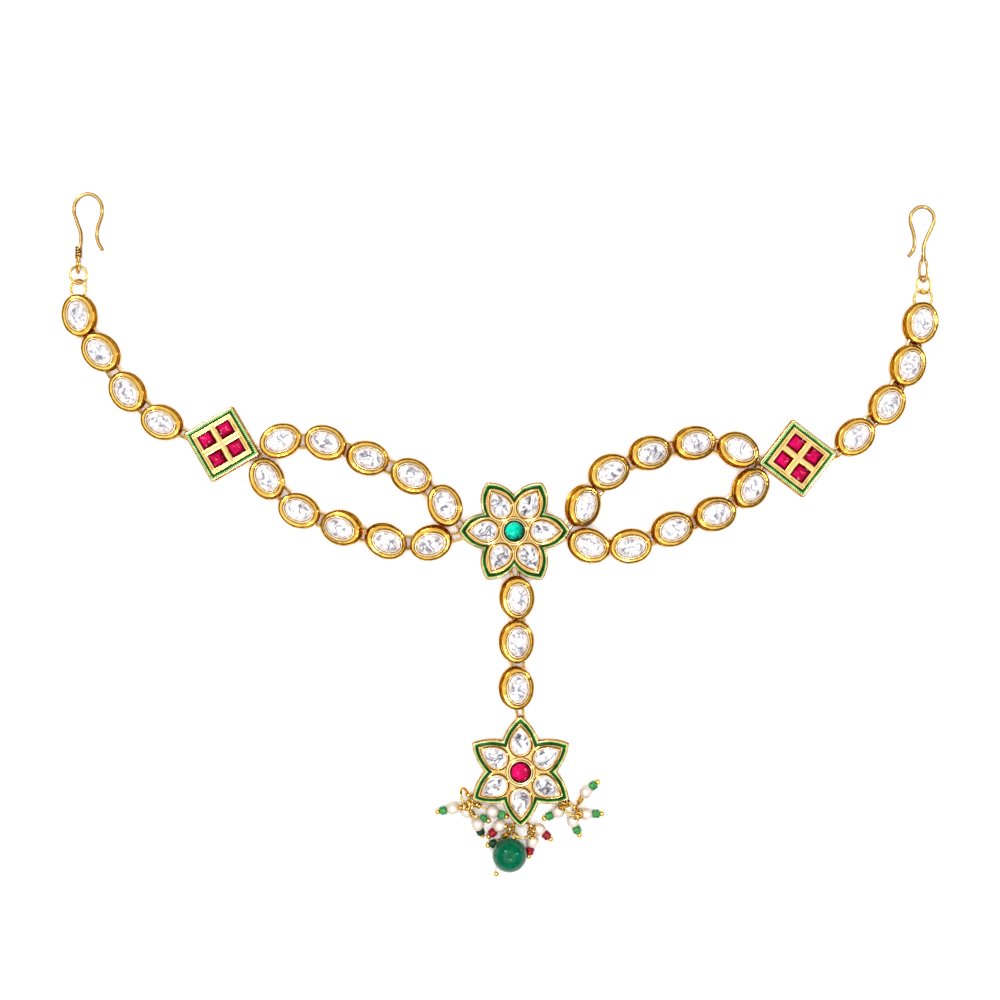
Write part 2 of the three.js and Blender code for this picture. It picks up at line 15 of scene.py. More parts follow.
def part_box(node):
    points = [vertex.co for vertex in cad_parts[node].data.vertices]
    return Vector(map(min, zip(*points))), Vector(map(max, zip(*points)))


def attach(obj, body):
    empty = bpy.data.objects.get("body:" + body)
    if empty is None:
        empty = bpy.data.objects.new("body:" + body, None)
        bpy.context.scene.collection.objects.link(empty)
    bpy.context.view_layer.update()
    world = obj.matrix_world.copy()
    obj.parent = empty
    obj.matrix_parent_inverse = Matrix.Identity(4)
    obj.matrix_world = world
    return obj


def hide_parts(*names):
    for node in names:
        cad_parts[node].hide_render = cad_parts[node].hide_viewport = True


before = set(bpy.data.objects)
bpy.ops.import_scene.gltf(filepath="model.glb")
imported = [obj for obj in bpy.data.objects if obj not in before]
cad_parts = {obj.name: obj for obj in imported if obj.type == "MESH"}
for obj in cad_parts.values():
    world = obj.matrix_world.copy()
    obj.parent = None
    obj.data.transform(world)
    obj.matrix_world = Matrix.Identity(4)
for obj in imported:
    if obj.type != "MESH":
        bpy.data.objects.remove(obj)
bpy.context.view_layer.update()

UP = Vector((0, 0, 1))
MM = 0.001
flower_low, flower_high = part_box("centre_flower")
DATUM = (flower_low + flower_high) / 2
TO_FRAME = Matrix.Translation((DATUM.x, DATUM.y, 0)) @ Matrix.Scale(MM, 4)

# ---- sizes, in millimetres

LINK_NARROWER = 0.9  # how much less an oval's half width is than its half length
LINK_BACK = 4.53
LINK_RIM = 4.45
LINK_RIM_UP = 2.35
LINK_SIDES = 56
# Half length, height and painted shade of each step of a link's setting; below nought it is a
# painted highlight.
LINK_ROWS = [
    (4.42, 0, 0), (4.52, 0.1, -0.6), (4.53, 0.25, -0.8), (4.46, 0.38, 0), (4.36, 0.46, 0.4),
    (4.34, 0.6, 0), (4.34, 1.85, 0.1), (4.4, 1.95, 0.5), (4.45, 2.08, 0.5),
    (4.44, 2.22, 0.35), (4.36, 2.36, 0.25), (4.2, 2.47, 0.1), (4.02, 2.55, 0),
    (3.82, 2.59, 0), (3.66, 2.6, 0.05), (3.54, 2.62, 0.3), (3.46, 2.7, 0.15),
    (3.4, 2.84, -0.5), (3.32, 2.93, -1), (3.2, 2.97, -1), (3.12, 2.95, -0.8),
    (3.07, 2.86, 0.5), (3.03, 2.7, 1), (3.01, 2.4, 1),
]
LINK_STONE = [(3.05, 2.5), (3.03, 2.78), (2.42, 3.06), (1.6, 3.2)]  # half length and height
STONE_SIDES = 11
# Jump rings between two links and between a link and a plaque, and how far they run in under each.
LINK_JUMP = {"half_wide": 1.25, "thick": 0.33, "up": 1.25}
PLAQUE_JUMP = {"half_wide": 0.7, "thick": 0.28, "up": 1.1}
LINK_TUCK = 1.1
PLAQUE_TUCK = 1.2

PETALS = 6
PETAL_TIP = 11.7
PETAL_NOTCH = 7.5
TIP_INSET = 1.25  # how far a tip and a notch move in for each millimetre of inset
NOTCH_INSET = 1.34
RIB = 0.05  # how far the enamel's ribs stand up
# Inset, height and painted shade of each step, for the rimmed tray, the enamel in it and the raised
# face. Here and in the rows below, shade below nought is a painted highlight, and in the enamel the
# same number is also its depth.
TRAY_ROWS = [
    (0.1, 0, 0), (0, 0.12, 0), (0, 2.0, 0.5), (0.03, 2.12, 0.7), (0.09, 2.22, 0.5),
    (0.17, 2.28, -0.1), (0.25, 2.3, -0.7), (0.32, 2.27, -0.5), (0.36, 2.18, 0.3),
    (0.38, 1.6, 1),
]
ENAMEL_ROWS = [
    (0.35, 1.62, 0), (0.35, 2.06, 0), (0.45, 2.11, 0.1), (0.54, 2.11, 0.5),
    (0.64, 2.07, 0.9), (0.95, 2.02, 1), (1.22, 2.0, 0.6),
]
SQUARE_ENAMEL_ROWS = [
    (0.35, 1.62, 0), (0.35, 2.06, 0), (0.44, 2.11, 0.05), (0.64, 2.1, 0.3),
    (0.78, 2.05, 0.9), (1.05, 2.02, 1), (1.22, 2.0, 0.8),
]
FLOWER_FACE_ROWS = [
    (1.13, 1.7, 0.8), (1.13, 2.3, 0.3), (1.16, 2.42, 0), (1.24, 2.48, 0), (1.4, 2.48, -0.4),
    (1.5, 2.42, 0.3), (1.6, 2.4, 0),
]
PEAR = {"inner": 3.5, "outer": 9.35, "half_wide": 2.1}
PEAR_TIP_INSET = 1.3
# How far out and how wide the sides bow, near the point and near the round end.
PEAR_BOW = {"out": 8.05, "wide": 0.75, "in": 6.7}
# The flat collar round a petal stone, which a flower's face has room for, and the lip inside it,
# each step with its painted shade.
COLLAR_ROWS = [
    (0, 2.2, 0.5), (0, 2.46, 0.35), (0.04, 2.57, -0.2), (0.08, 2.62, -0.9),
    (0.12, 2.635, -0.7),
]
PEAR_LIP_ROWS = [
    (-0.42, 2.64, 0.15), (-0.37, 2.66, 0.4), (-0.28, 2.74, 0.25), (-0.16, 2.84, 0.15),
    (-0.04, 2.9, -0.3), (0.04, 2.89, -0.2), (0.1, 2.78, 0.7), (0.14, 2.5, 1),
]
PEAR_STONE_ROWS = [(0.08, 2.3), (0.08, 2.74), (0.5, 2.94), (1.05, 3.02)]
ROUND_BEZEL_ROWS = [
    (0, 2.2, 0), (3.15, 2.2, 0.5), (3.15, 2.5, 0.3), (3.09, 2.66, 0), (2.97, 2.76, -0.5),
    (2.8, 2.79, -0.8), (2.7, 2.77, 0.2), (2.6, 2.79, 0.2), (2.5, 2.88, 0.1),
    (2.38, 2.93, -0.5), (2.26, 2.92, -0.5), (2.16, 2.82, 0.6), (2.1, 2.5, 1), (0, 2.45, 1),
]
ROUND_STONE = 2.1
ROUND_STONE_ROWS = [(0, 2.55), (0, 2.78), (0.35, 3.2), (1.0, 3.42)]

SQUARE_SIDE = 11.75
SQUARE_CORNER = 0.35
BED_CORNER = 0.2
BED_ROWS = [(1.18, 1.7, 0.8), (1.18, 2.3, 1), (1.3, 2.35, 1)]
# Rails run round the stones, flat with a shaded line let in, and low bars cross between them.
RAIL_INSET = 1.16
RAIL_WIDE = 0.95
RAIL_ROWS = [
    (0, 2.2, 0.8), (0, 2.52, 0.4), (0.06, 2.6, 0), (0.09, 2.61, -0.2), (0.28, 2.615, -0.4),
    (0.31, 2.6, 0.3), (0.4, 2.57, 0.35), (0.45, 2.57, 0.3),
]
BAR_ROWS = [
    (0, 2.2, 0.8), (0, 2.46, 0.8), (0.1, 2.55, 0.6), (0.22, 2.59, 0.4), (0.4, 2.625, 0.15),
    (0.52, 2.66, -0.3), (0.74, 2.665, -0.5),
]
SQUARE_STONE = {"side": 3.0, "apart": 4.54, "corner": 0.08}
SQUARE_STONE_ROWS = [(0, 2.0), (0, 2.5), (0.5, 2.84), (0.95, 2.9)]

HOOK_WIRE = 0.375
EYE_WIRE = 0.27
KNOT_WIRE = 0.26
HOOK_UP = 0.03  # how far a hook lies clear of the surface
RING_WIRE = 0.28
PEARL = 1.35
PEARL_SHAPE = (1, 0.98, 1.02)
SEED = {"radius": 0.93, "half_long": 0.76}
# How far out and how far along each step of a seed bead's outline is, from hole to hole.
SEED_ROWS = [
    (0, -1), (0.4, -1), (0.74, -0.92), (0.94, -0.72), (1, -0.45), (0.97, -0.15), (0.94, 0),
    (0.97, 0.15), (1, 0.45), (0.94, 0.72), (0.74, 0.92), (0.4, 1), (0, 1),
]
HEAD = 0.6
HEAD_CLEAR = 0.8  # how much of the head's radius stands clear of the bead before it
PIN = 0.2
DROP_EYE = {"radius": 0.77, "wire": 0.23, "slack": 0.12}
COIL = {"radius": 0.44, "wire": 0.24, "long": 1.5, "clear": 0.05}
BIG_BEAD = 3.6
WHITE_BEAD = 0.65
# How far along the pin a seed bead and the head sit, from the pearl's centre.
SEED_ALONG = 2.05
HEAD_ALONG = 3.25

# ---- places

# Each link: its centre, how far it is turned, how far it leans and which way.
STRANDS = {
    "left_tail": [
        (-91.2, 45.1, 99, 4, 180),
        (-86.7, 37.4, -48, 5, 230),
        (-81.1, 29.1, -57, 5, 230),
        (-73.9, 22.7, -24, 5, 240),
    ],
    "left_upper": [
        (-48.9, 18.9, 20, 4, 0),
        (-39.6, 18.6, -20, 4, 90),
        (-30.4, 15.2, -13, 14, 350),
        (-21.4, 11.6, -27, 9, 30),
        (-14.5, 5.5, -68, 7, 75),
    ],
    "left_lower": [
        (-51.7, 11.1, -64, 9, 50),
        (-45.1, 4.3, -23, 2, 90),
        (-36.4, 0.6, -20, 14, 200),
        (-26.6, -2.2, -25, 14, 335),
        (-17.5, -2.7, 18, 12, 255),
    ],
    "right_upper": [
        (47.0, 17.1, -27, 10, 30),
        (37.9, 18.4, 8, 14, 0),
        (28.7, 16.3, 12, 15, 355),
        (20.1, 12.3, 30, 13, 350),
        (14.8, 5.2, 73, 22, 350),
    ],
    "right_lower": [
        (49.7, 9.0, 56, 15, 0),
        (42.2, 3.6, 12, 13, 5),
        (33.3, 0.4, 20, 12, 0),
        (24.38, -3.3, 8, 6, 280),
        (15.8, -3.0, -20, 8, 10),
    ],
    "right_tail": [
        (71.5, 19.7, 42, 5, 0),
        (78.2, 26.4, 62, 6, 340),
        (82.6, 34.6, 70, 8, 350),
        (85.2, 43.5, 78, 6, 0),
    ],
    "centre": [
        (0.8, -14.1, 92, 14, 330),
        (0.7, -23.2, 88, 12, 350),
        (0.7, -32.9, 90, 13, 350),
    ],
}
# Where the end links are held to a plaque: strand, whether it is the last link, and the place.
STRAND_ENDS = [
    ("left_tail", True, -68.9, 20.2),
    ("left_upper", False, -53.6, 16.6),
    ("left_lower", False, -53.8, 15.0),
    ("left_upper", True, -11.2, 1.0),
    ("left_lower", True, -11.2, -1.0),
    ("right_upper", True, 11.2, 1.0),
    ("right_lower", True, 11.2, -1.0),
    ("right_upper", False, 51.2, 14.8),
    ("right_lower", False, 51.2, 13.2),
    ("right_tail", False, 67.6, 16.4),
    ("centre", False, 0, -7.4),
    ("centre", True, 1.3, -38.9),
]
# Each plaque: its centre and how far it is turned.
FLOWERS = {"centre_flower": (0, 0, 0), "pendant_flower": (1.3, -50.35, 30)}
SQUARES = {"left_square": (-61.2, 18.2, 30), "right_square": (59.4, 15.2, 52.5)}
BULGE = {"centre_flower": 0.85, "pendant_flower": 0.5}  # of each side of a petal
COLLAR = {"centre_flower": 0.72, "pendant_flower": 0.56}  # its width round a petal stone

# Each hook: its wire's route, the wrapped knot's centre, radius and length, and the eye's centre,
# half length, half width and roll.
HOOKS = {
    "left_hook": {
        "route": [
            (-86.5, 58.9), (-87.6, 61.3), (-87.6, 63.2), (-86.6, 67.2), (-87.3, 69.6),
            (-89.5, 70.8), (-91.7, 69.7), (-92.5, 67.5), (-91.9, 65.0), (-91.0, 62.3),
            (-91.2, 58.7),
        ],
        "knot": (-91.4, 58.4, 0.75, 2.2),
        "eye": (-91.5, 56.1, 1.9, 0.8, 60),
    },
    "right_hook": {
        "route": [
            (82.8, 57.6), (83.8, 59.0), (84.1, 60.6), (83.8, 62.8), (83.2, 65.2),
            (83.7, 67.0), (85.6, 68.1), (87.5, 67.3), (88.2, 65.8), (87.8, 64.0),
            (86.7, 61.7), (86.0, 59.6), (85.9, 57.3),
        ],
        "knot": (85.8, 57.2, 0.5, 1.0),
        "eye": (85.8, 54.7, 2.4, 1.0, 50),
    },
}
# Jump rings: centre, height, radius, roll and the way of the line they roll about.
RINGS = {
    "left_ring_1": (-91.4, 53.7, 1.05, 1.8, 25, 90),
    "left_ring_2": (-91.4, 50.7, 1.15, 1.95, -25, 90),
    "right_ring_1": (85.9, 51.6, 1.05, 1.78, 25, 90),
    "right_ring_2": (85.7, 48.65, 1.1, 1.92, -25, 90),
    "left_drop_ring": (-10.25, -55.55, 2.8, 1.95, 110, -70),
    "lower_drop_ring": (1.5, -62.4, 2.64, 2.2, -50, 0),
    "right_drop_ring": (11.83, -58.2, 2.8, 1.95, 110, -31),
}
# Eyes at the pendant flower's points: ring, where round it the eye hangs, and the shank's foot.
TIP_EYES = [
    ("left_drop_ring", -90, (-7.9, -55.3, 1.0)),
    ("right_drop_ring", -130, (11.0, -55.9, 1.2)),
]
# Drops: ring, where round it the eye hangs, the pearl's centre, the pin's aim and dip, the seed
# bead's glass and how far the pin reaches on bare between pearl and seed bead.
DROPS = {
    "left_drop_1": ("left_drop_ring", 20, (-12.9, -58.1, 1.4), 194, 5, "green", 0),
    "left_drop_2": ("left_drop_ring", -20, (-10.0, -58.8, 1.4), 337, 3, "green", 1.7),
    "left_drop_3": ("left_drop_ring", 3, (-7.7, -61.2, 3.4), 290, 35, "dark", 0),
    "left_drop_4": ("left_drop_ring", -42, (-4.6, -58.7, 2.0), 339, 15, "green", 0),
    "right_drop_1": ("right_drop_ring", -180, (9.2, -58.8, 1.4), 207, 8, "green", 0),
    "right_drop_2": ("right_drop_ring", 0, (12.3, -60.8, 1.4), 294, 8, "green", 0),
    "right_drop_3": ("right_drop_ring", -25, (15.1, -59.3, 1.4), 0, 8, "green", 0),
    "right_drop_4": ("right_drop_ring", -70, (15.0, -54.7, 1.4), 40, 8, "green", 0),
    "lower_drop_1": ("lower_drop_ring", 160, (-3.1, -61.8, 1.4), 225, 8, "red", 0),
    "lower_drop_3": ("lower_drop_ring", -20, (3.8, -65.1, 1.4), 255, 8, "red", 0),
    "lower_drop_4": ("lower_drop_ring", 12, (5.2, -62.5, 1.4), 319, 8, "red", 0),
}
SEED_DROP = ("lower_drop_ring", -170, (-4.4, -65.6, 1.0), 197, 5, "dark")
BIG_DROP = ("lower_drop_ring", -125, (-1.0, -67.5, 3.65), 237, 20)

# ---- camera and lights

CAMERA_PLACE = (-3.0, 6.5, 422.2)
camera_data = bpy.data.cameras.new("camera")
camera_data.sensor_width = 36
camera_data.lens = 72.3
camera = bpy.data.objects.new("camera", camera_data)
camera.location = TO_FRAME @ Vector(CAMERA_PLACE)
bpy.context.scene.collection.objects.link(camera)
bpy.context.scene.camera = camera


def softbox(name, place, size, watts):
    """A rectangular area light that faces the jewel, placed in metres."""
    data = bpy.data.lights.new(name, "AREA")
    data.shape = "RECTANGLE"
    data.size, data.size_y = size
    data.energy = watts
    lamp = bpy.data.objects.new(name, data)
    lamp.location = place
    lamp.rotation_euler = Vector(place).to_track_quat("Z", "Y").to_euler()
    bpy.context.scene.collection.objects.link(lamp)


softbox("key_light", (-0.45, 0.5, 0.75), (0.2, 0.16), 2.0)
softbox("side_light", (0.75, 0.15, 0.55), (0.1, 0.2), 1.0)
softbox("low_light", (0.12, -0.4, 0.9), (0.14, 0.1), 1.5)

# ---- node helpers


def feed(tree, made, feeds):
    """Sets or links a node's inputs by name or number."""
    for key, value in feeds.items():
        if isinstance(value, bpy.types.NodeSocket):
            tree.links.new(value, made.inputs[key])
        else:
            made.inputs[key].default_value = value


def node(tree, kind, feeds=None, **settings):
    """A node with its settings, and its inputs set or linked."""
    made = tree.nodes.new("ShaderNode" + kind)
    for key, value in settings.items():
        setattr(made, key, value)
    feed(tree, made, feeds or {})
    return made


def maths(tree, operation, a, b=0.0, clamp=False):
    feeds = {0: a, 1: b}
    return node(tree, "Math", feeds, operation=operation, use_clamp=clamp).outputs[0]


def mixed(tree, factor, a, b, mode="MIX"):
    """One colour laid over another by a factor."""
    feeds = {0: factor, 6: a, 7: b}
    return node(tree, "Mix", feeds, data_type="RGBA", blend_type=mode).outputs[2]


def ramp(tree, factor, stops):
    """A colour from a factor through (place, colour) stops."""
    made = node(tree, "ValToRGB", {"Fac": factor})
    elements = made.color_ramp.elements
    while len(elements) < len(stops):
        elements.new(1.0)
    for element, (at, colour) in zip(elements, stops):
        element.position = at
        element.color = (*colour, 1)
    return made.outputs["Color"]


def level(tree, factor, low, high):
    """Nought below low, one above high and even between them."""
    feeds = {"Value": factor, "From Min": low, "From Max": high}
    return node(tree, "MapRange", feeds).outputs["Result"]


def attribute(tree, name):
    return node(tree, "Attribute", attribute_name=name).outputs["Fac"]


def local_place(tree):
    """The place in a stone, each stone in its own part of the painted pattern of lines."""
    return node(tree, "Attribute", attribute_name="local").outputs["Vector"]


def object_mm(tree):
    """Object coordinates in millimetres."""
    coords = node(tree, "TexCoord").outputs["Object"]
    feeds = {0: coords, "Scale": 1 / MM}
    return node(tree, "VectorMath", feeds, operation="SCALE").outputs[0]


def flank(tree):
    """Nought where a surface lies level, one where it stands upright."""
    normal = node(tree, "TexCoord").outputs["Normal"]
    up = node(tree, "SeparateXYZ", {0: normal}).outputs["Z"]
    return maths(tree, "SUBTRACT", 1.0, maths(tree, "ABSOLUTE", up))


def cloud(tree, vector, scale, detail=2.0, distortion=0.0):
    feeds = {"Vector": vector, "Scale": scale, "Detail": detail, "Distortion": distortion}
    return node(tree, "TexNoise", feeds).outputs["Fac"]


def new_group(name, inputs, outputs):
    """An empty shader group with named sockets: (kind, label, value) in and (kind, label) out."""
    tree = bpy.data.node_groups.new(name, "ShaderNodeTree")
    for kind, label, value in inputs:
        socket = tree.interface.new_socket(label, in_out="INPUT", socket_type="NodeSocket" + kind)
        socket.default_value = value
    for kind, label in outputs:
        tree.interface.new_socket(label, in_out="OUTPUT", socket_type="NodeSocket" + kind)
    entry = tree.nodes.new("NodeGroupInput")
    leave = tree.nodes.new("NodeGroupOutput")
    return tree, entry.outputs, leave.inputs


def placed_group(tree, group, feeds):
    made = tree.nodes.new("ShaderNodeGroup")
    made.node_tree = group
    feed(tree, made, feeds)
    return made.outputs


def material(name, **constants):
    """A Principled material: its tree, its shader and itself, with constants set on the shader."""
    made = bpy.data.materials.new(name)
    made.use_nodes = True
    tree = made.node_tree
    shader = tree.nodes["Principled BSDF"]
    for key, value in constants.items():
        shader.inputs[key.replace("_", " ")].default_value = value
    return made, tree, shader


def surface_bump(tree, height, strength, distance):
    feeds = {"Height": height, "Strength": strength, "Distance": distance}
    return node(tree, "Bump", feeds).outputs["Normal"]


# ---- shared effects


def hand_finish():
    """Uneven hand polishing: a slow mottle, a fine grain and the soft waves of beaten metal."""
    tree, given, out = new_group(
        "hand_finish",
        [("Float", "Wave Size", 1.4), ("Float", "Wave Depth", 0.05), ("Float", "Grain", 0.5)],
        [("Float", "Mottle"), ("Float", "Streak"), ("Float", "Gloss"), ("Vector", "Normal")],
    )
    where = object_mm(tree)
    wave = cloud(tree, where, maths(tree, "DIVIDE", 1.0, given["Wave Size"]), detail=1.5)
    grain = cloud(tree, where, 9.0, detail=3.0)
    fine = maths(tree, "MULTIPLY", maths(tree, "MULTIPLY", grain, 0.06), given["Grain"])
    height = maths(tree, "ADD", wave, fine)
    depth = maths(tree, "MULTIPLY", given["Wave Depth"], MM)
    normal = surface_bump(tree, height, 1.0, depth)
    mottle = cloud(tree, where, 0.45, detail=3.0, distortion=0.6)
    tree.links.new(level(tree, mottle, 0.3, 0.7), out["Mottle"])
    tree.links.new(cloud(tree, where, 0.9), out["Streak"])
    tree.links.new(level(tree, grain, 0.3, 0.75), out["Gloss"])
    tree.links.new(normal, out["Normal"])
    return tree


def painted_reflection_lines():
    """Broken lines of painted reflection, as a flat-cut stone's crinkled foil shows them, with soft
    cloudy parts.
    """
    tree, given, out = new_group(
        "painted_reflection_lines",
        [
            ("Vector", "Place", (0, 0, 0)),
            ("Float", "Scale", 0.6),
            ("Float", "Width", 0.1),
            ("Float", "Share", 0.5),
        ],
        [("Float", "Lines"), ("Float", "Clouds")],
    )
    where = given["Place"]
    field = cloud(tree, where, given["Scale"], detail=1.0, distortion=1.2)
    ridge = maths(tree, "ABSOLUTE", maths(tree, "SUBTRACT", field, 0.5))
    line = maths(tree, "SUBTRACT", 1.0, level(tree, ridge, 0.0, given["Width"]), clamp=True)
    mask = cloud(tree, where, 0.75, detail=1.0)
    gate = maths(tree, "SUBTRACT", 1.0, given["Share"])
    shown = level(tree, mask, gate, maths(tree, "ADD", gate, 0.05))
    tree.links.new(maths(tree, "MULTIPLY", line, shown), out["Lines"])
    clouds = cloud(tree, where, 0.45, distortion=0.8)
    tree.links.new(level(tree, clouds, 0.46, 0.7), out["Clouds"])
    return tree


HAND_FINISH = hand_finish()
PAINTED_REFLECTION_LINES = painted_reflection_lines()

# ---- finishes

# Pale gilt of the painted highlight.
PAINTED_HIGHLIGHT_GILT = (1.0, 0.86, 0.52, 1)
# Dark brown of the deepest painted shade.
PAINTED_SHADE_BROWN = (0.07, 0.027, 0.004, 1)
GILT_GLANCE = (0.6, 0.35, 0.15, 1)
GILT_ROUGHNESS = {"To Min": 0.1, "To Max": 0.22}


def gilt(name, pale, deep, shaded, wave_depth, outline):
    """Gilt brass: a painted highlight along the edges marked for it, deeper in the mottle, orange
    painted shade towards its recesses and brown painted shade in them, with broken lines of
    painted reflection along the edges that are half in shade. The outline says how much painted
    shade its upright flanks get."""
    made, tree, shader = material(name, Metallic=1.0, Specular_Tint=GILT_GLANCE)
    finish = placed_group(tree, HAND_FINISH, {"Wave Depth": wave_depth})
    colour = mixed(tree, finish["Mottle"], (*pale, 1), (*deep, 1))
    # Painted light marked on the shape: painted shade above nought, a painted highlight below it.
    depth_and_painted_light = attribute(tree, "depth_and_painted_light")
    # Broken dark lines of painted reflection along the edges that are half in shade.
    broken = maths(tree, "MULTIPLY", maths(tree, "SUBTRACT", finish["Streak"], 0.5), 2.0)
    broken = maths(tree, "MULTIPLY", broken, level(tree, depth_and_painted_light, 0.1, 0.4))
    shade = maths(tree, "ADD", depth_and_painted_light, broken)
    # Painted shade on the upright flanks, as much as the outline says.
    dull = maths(tree, "MULTIPLY", level(tree, flank(tree), 0.25, 0.75), outline)
    shade = maths(tree, "ADD", shade, dull)
    # A painted highlight where the mark is below nought.
    colour = mixed(tree, level(tree, depth_and_painted_light, 0.0, -1.0), colour, PAINTED_HIGHLIGHT_GILT)
    # Orange painted shade, then brown painted shade where the mark is deep.
    colour = mixed(tree, level(tree, shade, 0.0, 0.45), colour, (*shaded, 1))
    colour = mixed(tree, level(tree, shade, 0.45, 0.9), colour, PAINTED_SHADE_BROWN)
    tree.links.new(colour, shader.inputs["Base Color"])
    rough = node(tree, "MapRange", {"Value": finish["Gloss"], **GILT_ROUGHNESS})
    tree.links.new(rough.outputs["Result"], shader.inputs["Roughness"])
    tree.links.new(finish["Normal"], shader.inputs["Normal"])
    return made


# Painted reflections of the foil in a stone's facets, and its grey clouds of painted shade.
FOIL_FACET_REFLECTIONS = [(0.0, (0.56, 0.55, 0.62)), (0.15, (0.72, 0.72, 0.76)), (0.35, (0.86, 0.86, 0.87))]
FOIL_SHADE_CLOUD = (0.50, 0.49, 0.56, 1)
# The painted reflection of the gold setting, seen in a stone's edge.
GOLD_REFLECTION_DEEP = (0.45, 0.20, 0.08, 1)
GOLD_REFLECTION_PALE = (0.82, 0.64, 0.52, 1)


def polki(name, scale, width, share, dark, glow):
    """A flat-cut stone over silver foil: white, with a painted reflection in each facet, grey
    clouds of painted shade, broken dark lines of painted reflection and a painted reflection of the
    gold round its edge."""
    made, tree, shader = material(name, Roughness=0.08, IOR=1.6)
    place = local_place(tree)
    feeds = {"Place": place, "Scale": scale, "Width": width, "Share": share}
    figure = placed_group(tree, PAINTED_REFLECTION_LINES, feeds)
    feeds = {"Place": place, "Scale": 2.2 * scale, "Width": width, "Share": 0.85 * share}
    fine = placed_group(tree, PAINTED_REFLECTION_LINES, feeds)["Lines"]
    # Each facet's grey is a painted reflection of the foil under it.
    colour = ramp(tree, attribute(tree, "facet"), FOIL_FACET_REFLECTIONS)
    # Grey clouds of painted shade.
    clouds = maths(tree, "MULTIPLY", figure["Clouds"], 0.55)
    colour = mixed(tree, clouds, colour, FOIL_SHADE_CLOUD)
    inside = maths(tree, "SUBTRACT", 1.0, attribute(tree, "edge"))
    # Dark lines of painted reflection, kept off the edge.
    lines = maths(tree, "MAXIMUM", figure["Lines"], maths(tree, "MULTIPLY", fine, 0.6))
    lines = maths(tree, "MULTIPLY", lines, level(tree, inside, 0.0, 0.5))
    colour = mixed(tree, lines, colour, (*dark, 1))
    # A painted reflection of the gold round the stone's edge, as strong as glow says.
    edge = level(tree, attribute(tree, "edge"), 0.3, 1.0)
    blots = level(tree, cloud(tree, place, 0.6, detail=1.0), 0.3, 0.5)
    warm = mixed(tree, blots, GOLD_REFLECTION_DEEP, GOLD_REFLECTION_PALE)
    colour = mixed(tree, maths(tree, "MULTIPLY", edge, glow), colour, warm)
    tree.links.new(colour, shader.inputs["Base Color"])
    return made


# Thin painted glints in cut glass.
GLINTS = {"Scale": 0.7, "Width": 0.035, "Share": 0.42}


def cut_glass(name, dark, mid, bright, glint):
    """Coloured foiled glass with painted light: each facet its own painted tone, painted highlights
    in soft patches and to one side, painted shade at the edge and thin painted glints."""
    made, tree, shader = material(name, Roughness=0.05, IOR=1.5, Specular_IOR_Level=0.05)
    place = local_place(tree)
    # Painted light: soft bright patches, a brighter side and each facet's own tone.
    glow = cloud(tree, place, 0.45, detail=1.0, distortion=0.5)
    rim = attribute(tree, "edge")
    across, along, _ = node(tree, "SeparateXYZ", {0: place}).outputs
    lean = maths(tree, "MULTIPLY", maths(tree, "SUBTRACT", along, across), 0.12)
    tone = maths(tree, "MULTIPLY", attribute(tree, "facet"), 0.4)
    glow = maths(tree, "ADD", maths(tree, "MULTIPLY", glow, 0.6), lean)
    tone = maths(tree, "ADD", tone, glow)
    tone = maths(tree, "SUBTRACT", tone, maths(tree, "MULTIPLY", rim, 0.3))
    colour = ramp(tree, tone, [(0.0, dark), (0.3, mid), (0.8, bright)])
    # Painted shade at the edge.
    edge = level(tree, rim, 0.5, 1.0)
    colour = mixed(tree, edge, colour, (*[c * 0.4 for c in dark], 1))
    # Thin painted glints.
    glints = placed_group(tree, PAINTED_REFLECTION_LINES, {"Place": place, **GLINTS})["Lines"]
    colour = mixed(tree, maths(tree, "MULTIPLY", glints, 0.8), colour, (*glint, 1))
    tree.links.new(colour, shader.inputs["Base Color"])
    return made


def bead_glass(name, deep, bright, shine=0.22, scale=2.4, roughness=0.2):
    made, tree, shader = material(name, Roughness=roughness, IOR=1.6, Specular_IOR_Level=shine)
    where = object_mm(tree)
    swirl = cloud(tree, where, scale, distortion=1.2)
    colour = ramp(tree, swirl, [(0.35, deep), (0.65, bright)])
    tree.links.new(colour, shader.inputs["Base Color"])
    return made


# Enamel greens, from pale, partly a painted highlight, to dark, partly painted shade.
GREENS = [
    (0.0, (0.60, 0.82, 0.38)),
    (0.2, (0.17, 0.46, 0.09)),
    (0.45, (0.016, 0.19, 0.02)),
    (0.75, (0.004, 0.07, 0.008)),
    (1.0, (0.002, 0.032, 0.003)),
]


def enamel(name, depth, ribbed):
    """Clear green enamel over a ribbed gold ground: pale where it is thin by the rim, on the ribs
    most of all, and very dark where it is deep; the pale is partly a painted highlight and the dark
    partly painted shade."""
    made, tree, shader = material(name, Roughness=0.15, IOR=1.45, Specular_IOR_Level=0.1)
    where = object_mm(tree)
    pool = level(tree, cloud(tree, where, 0.5, distortion=0.5), 0.3, 0.7)
    pool = maths(tree, "MULTIPLY", maths(tree, "SUBTRACT", pool, 0.5), 0.4)
    # The marked depth with its painted light, random pools, and less on the ribs.
    deep = maths(tree, "ADD", attribute(tree, "depth_and_painted_light"), maths(tree, "ADD", pool, depth))
    deep = maths(tree, "SUBTRACT", deep, maths(tree, "MULTIPLY", attribute(tree, "rib"), ribbed))
    tree.links.new(ramp(tree, deep, GREENS), shader.inputs["Base Color"])
    return made


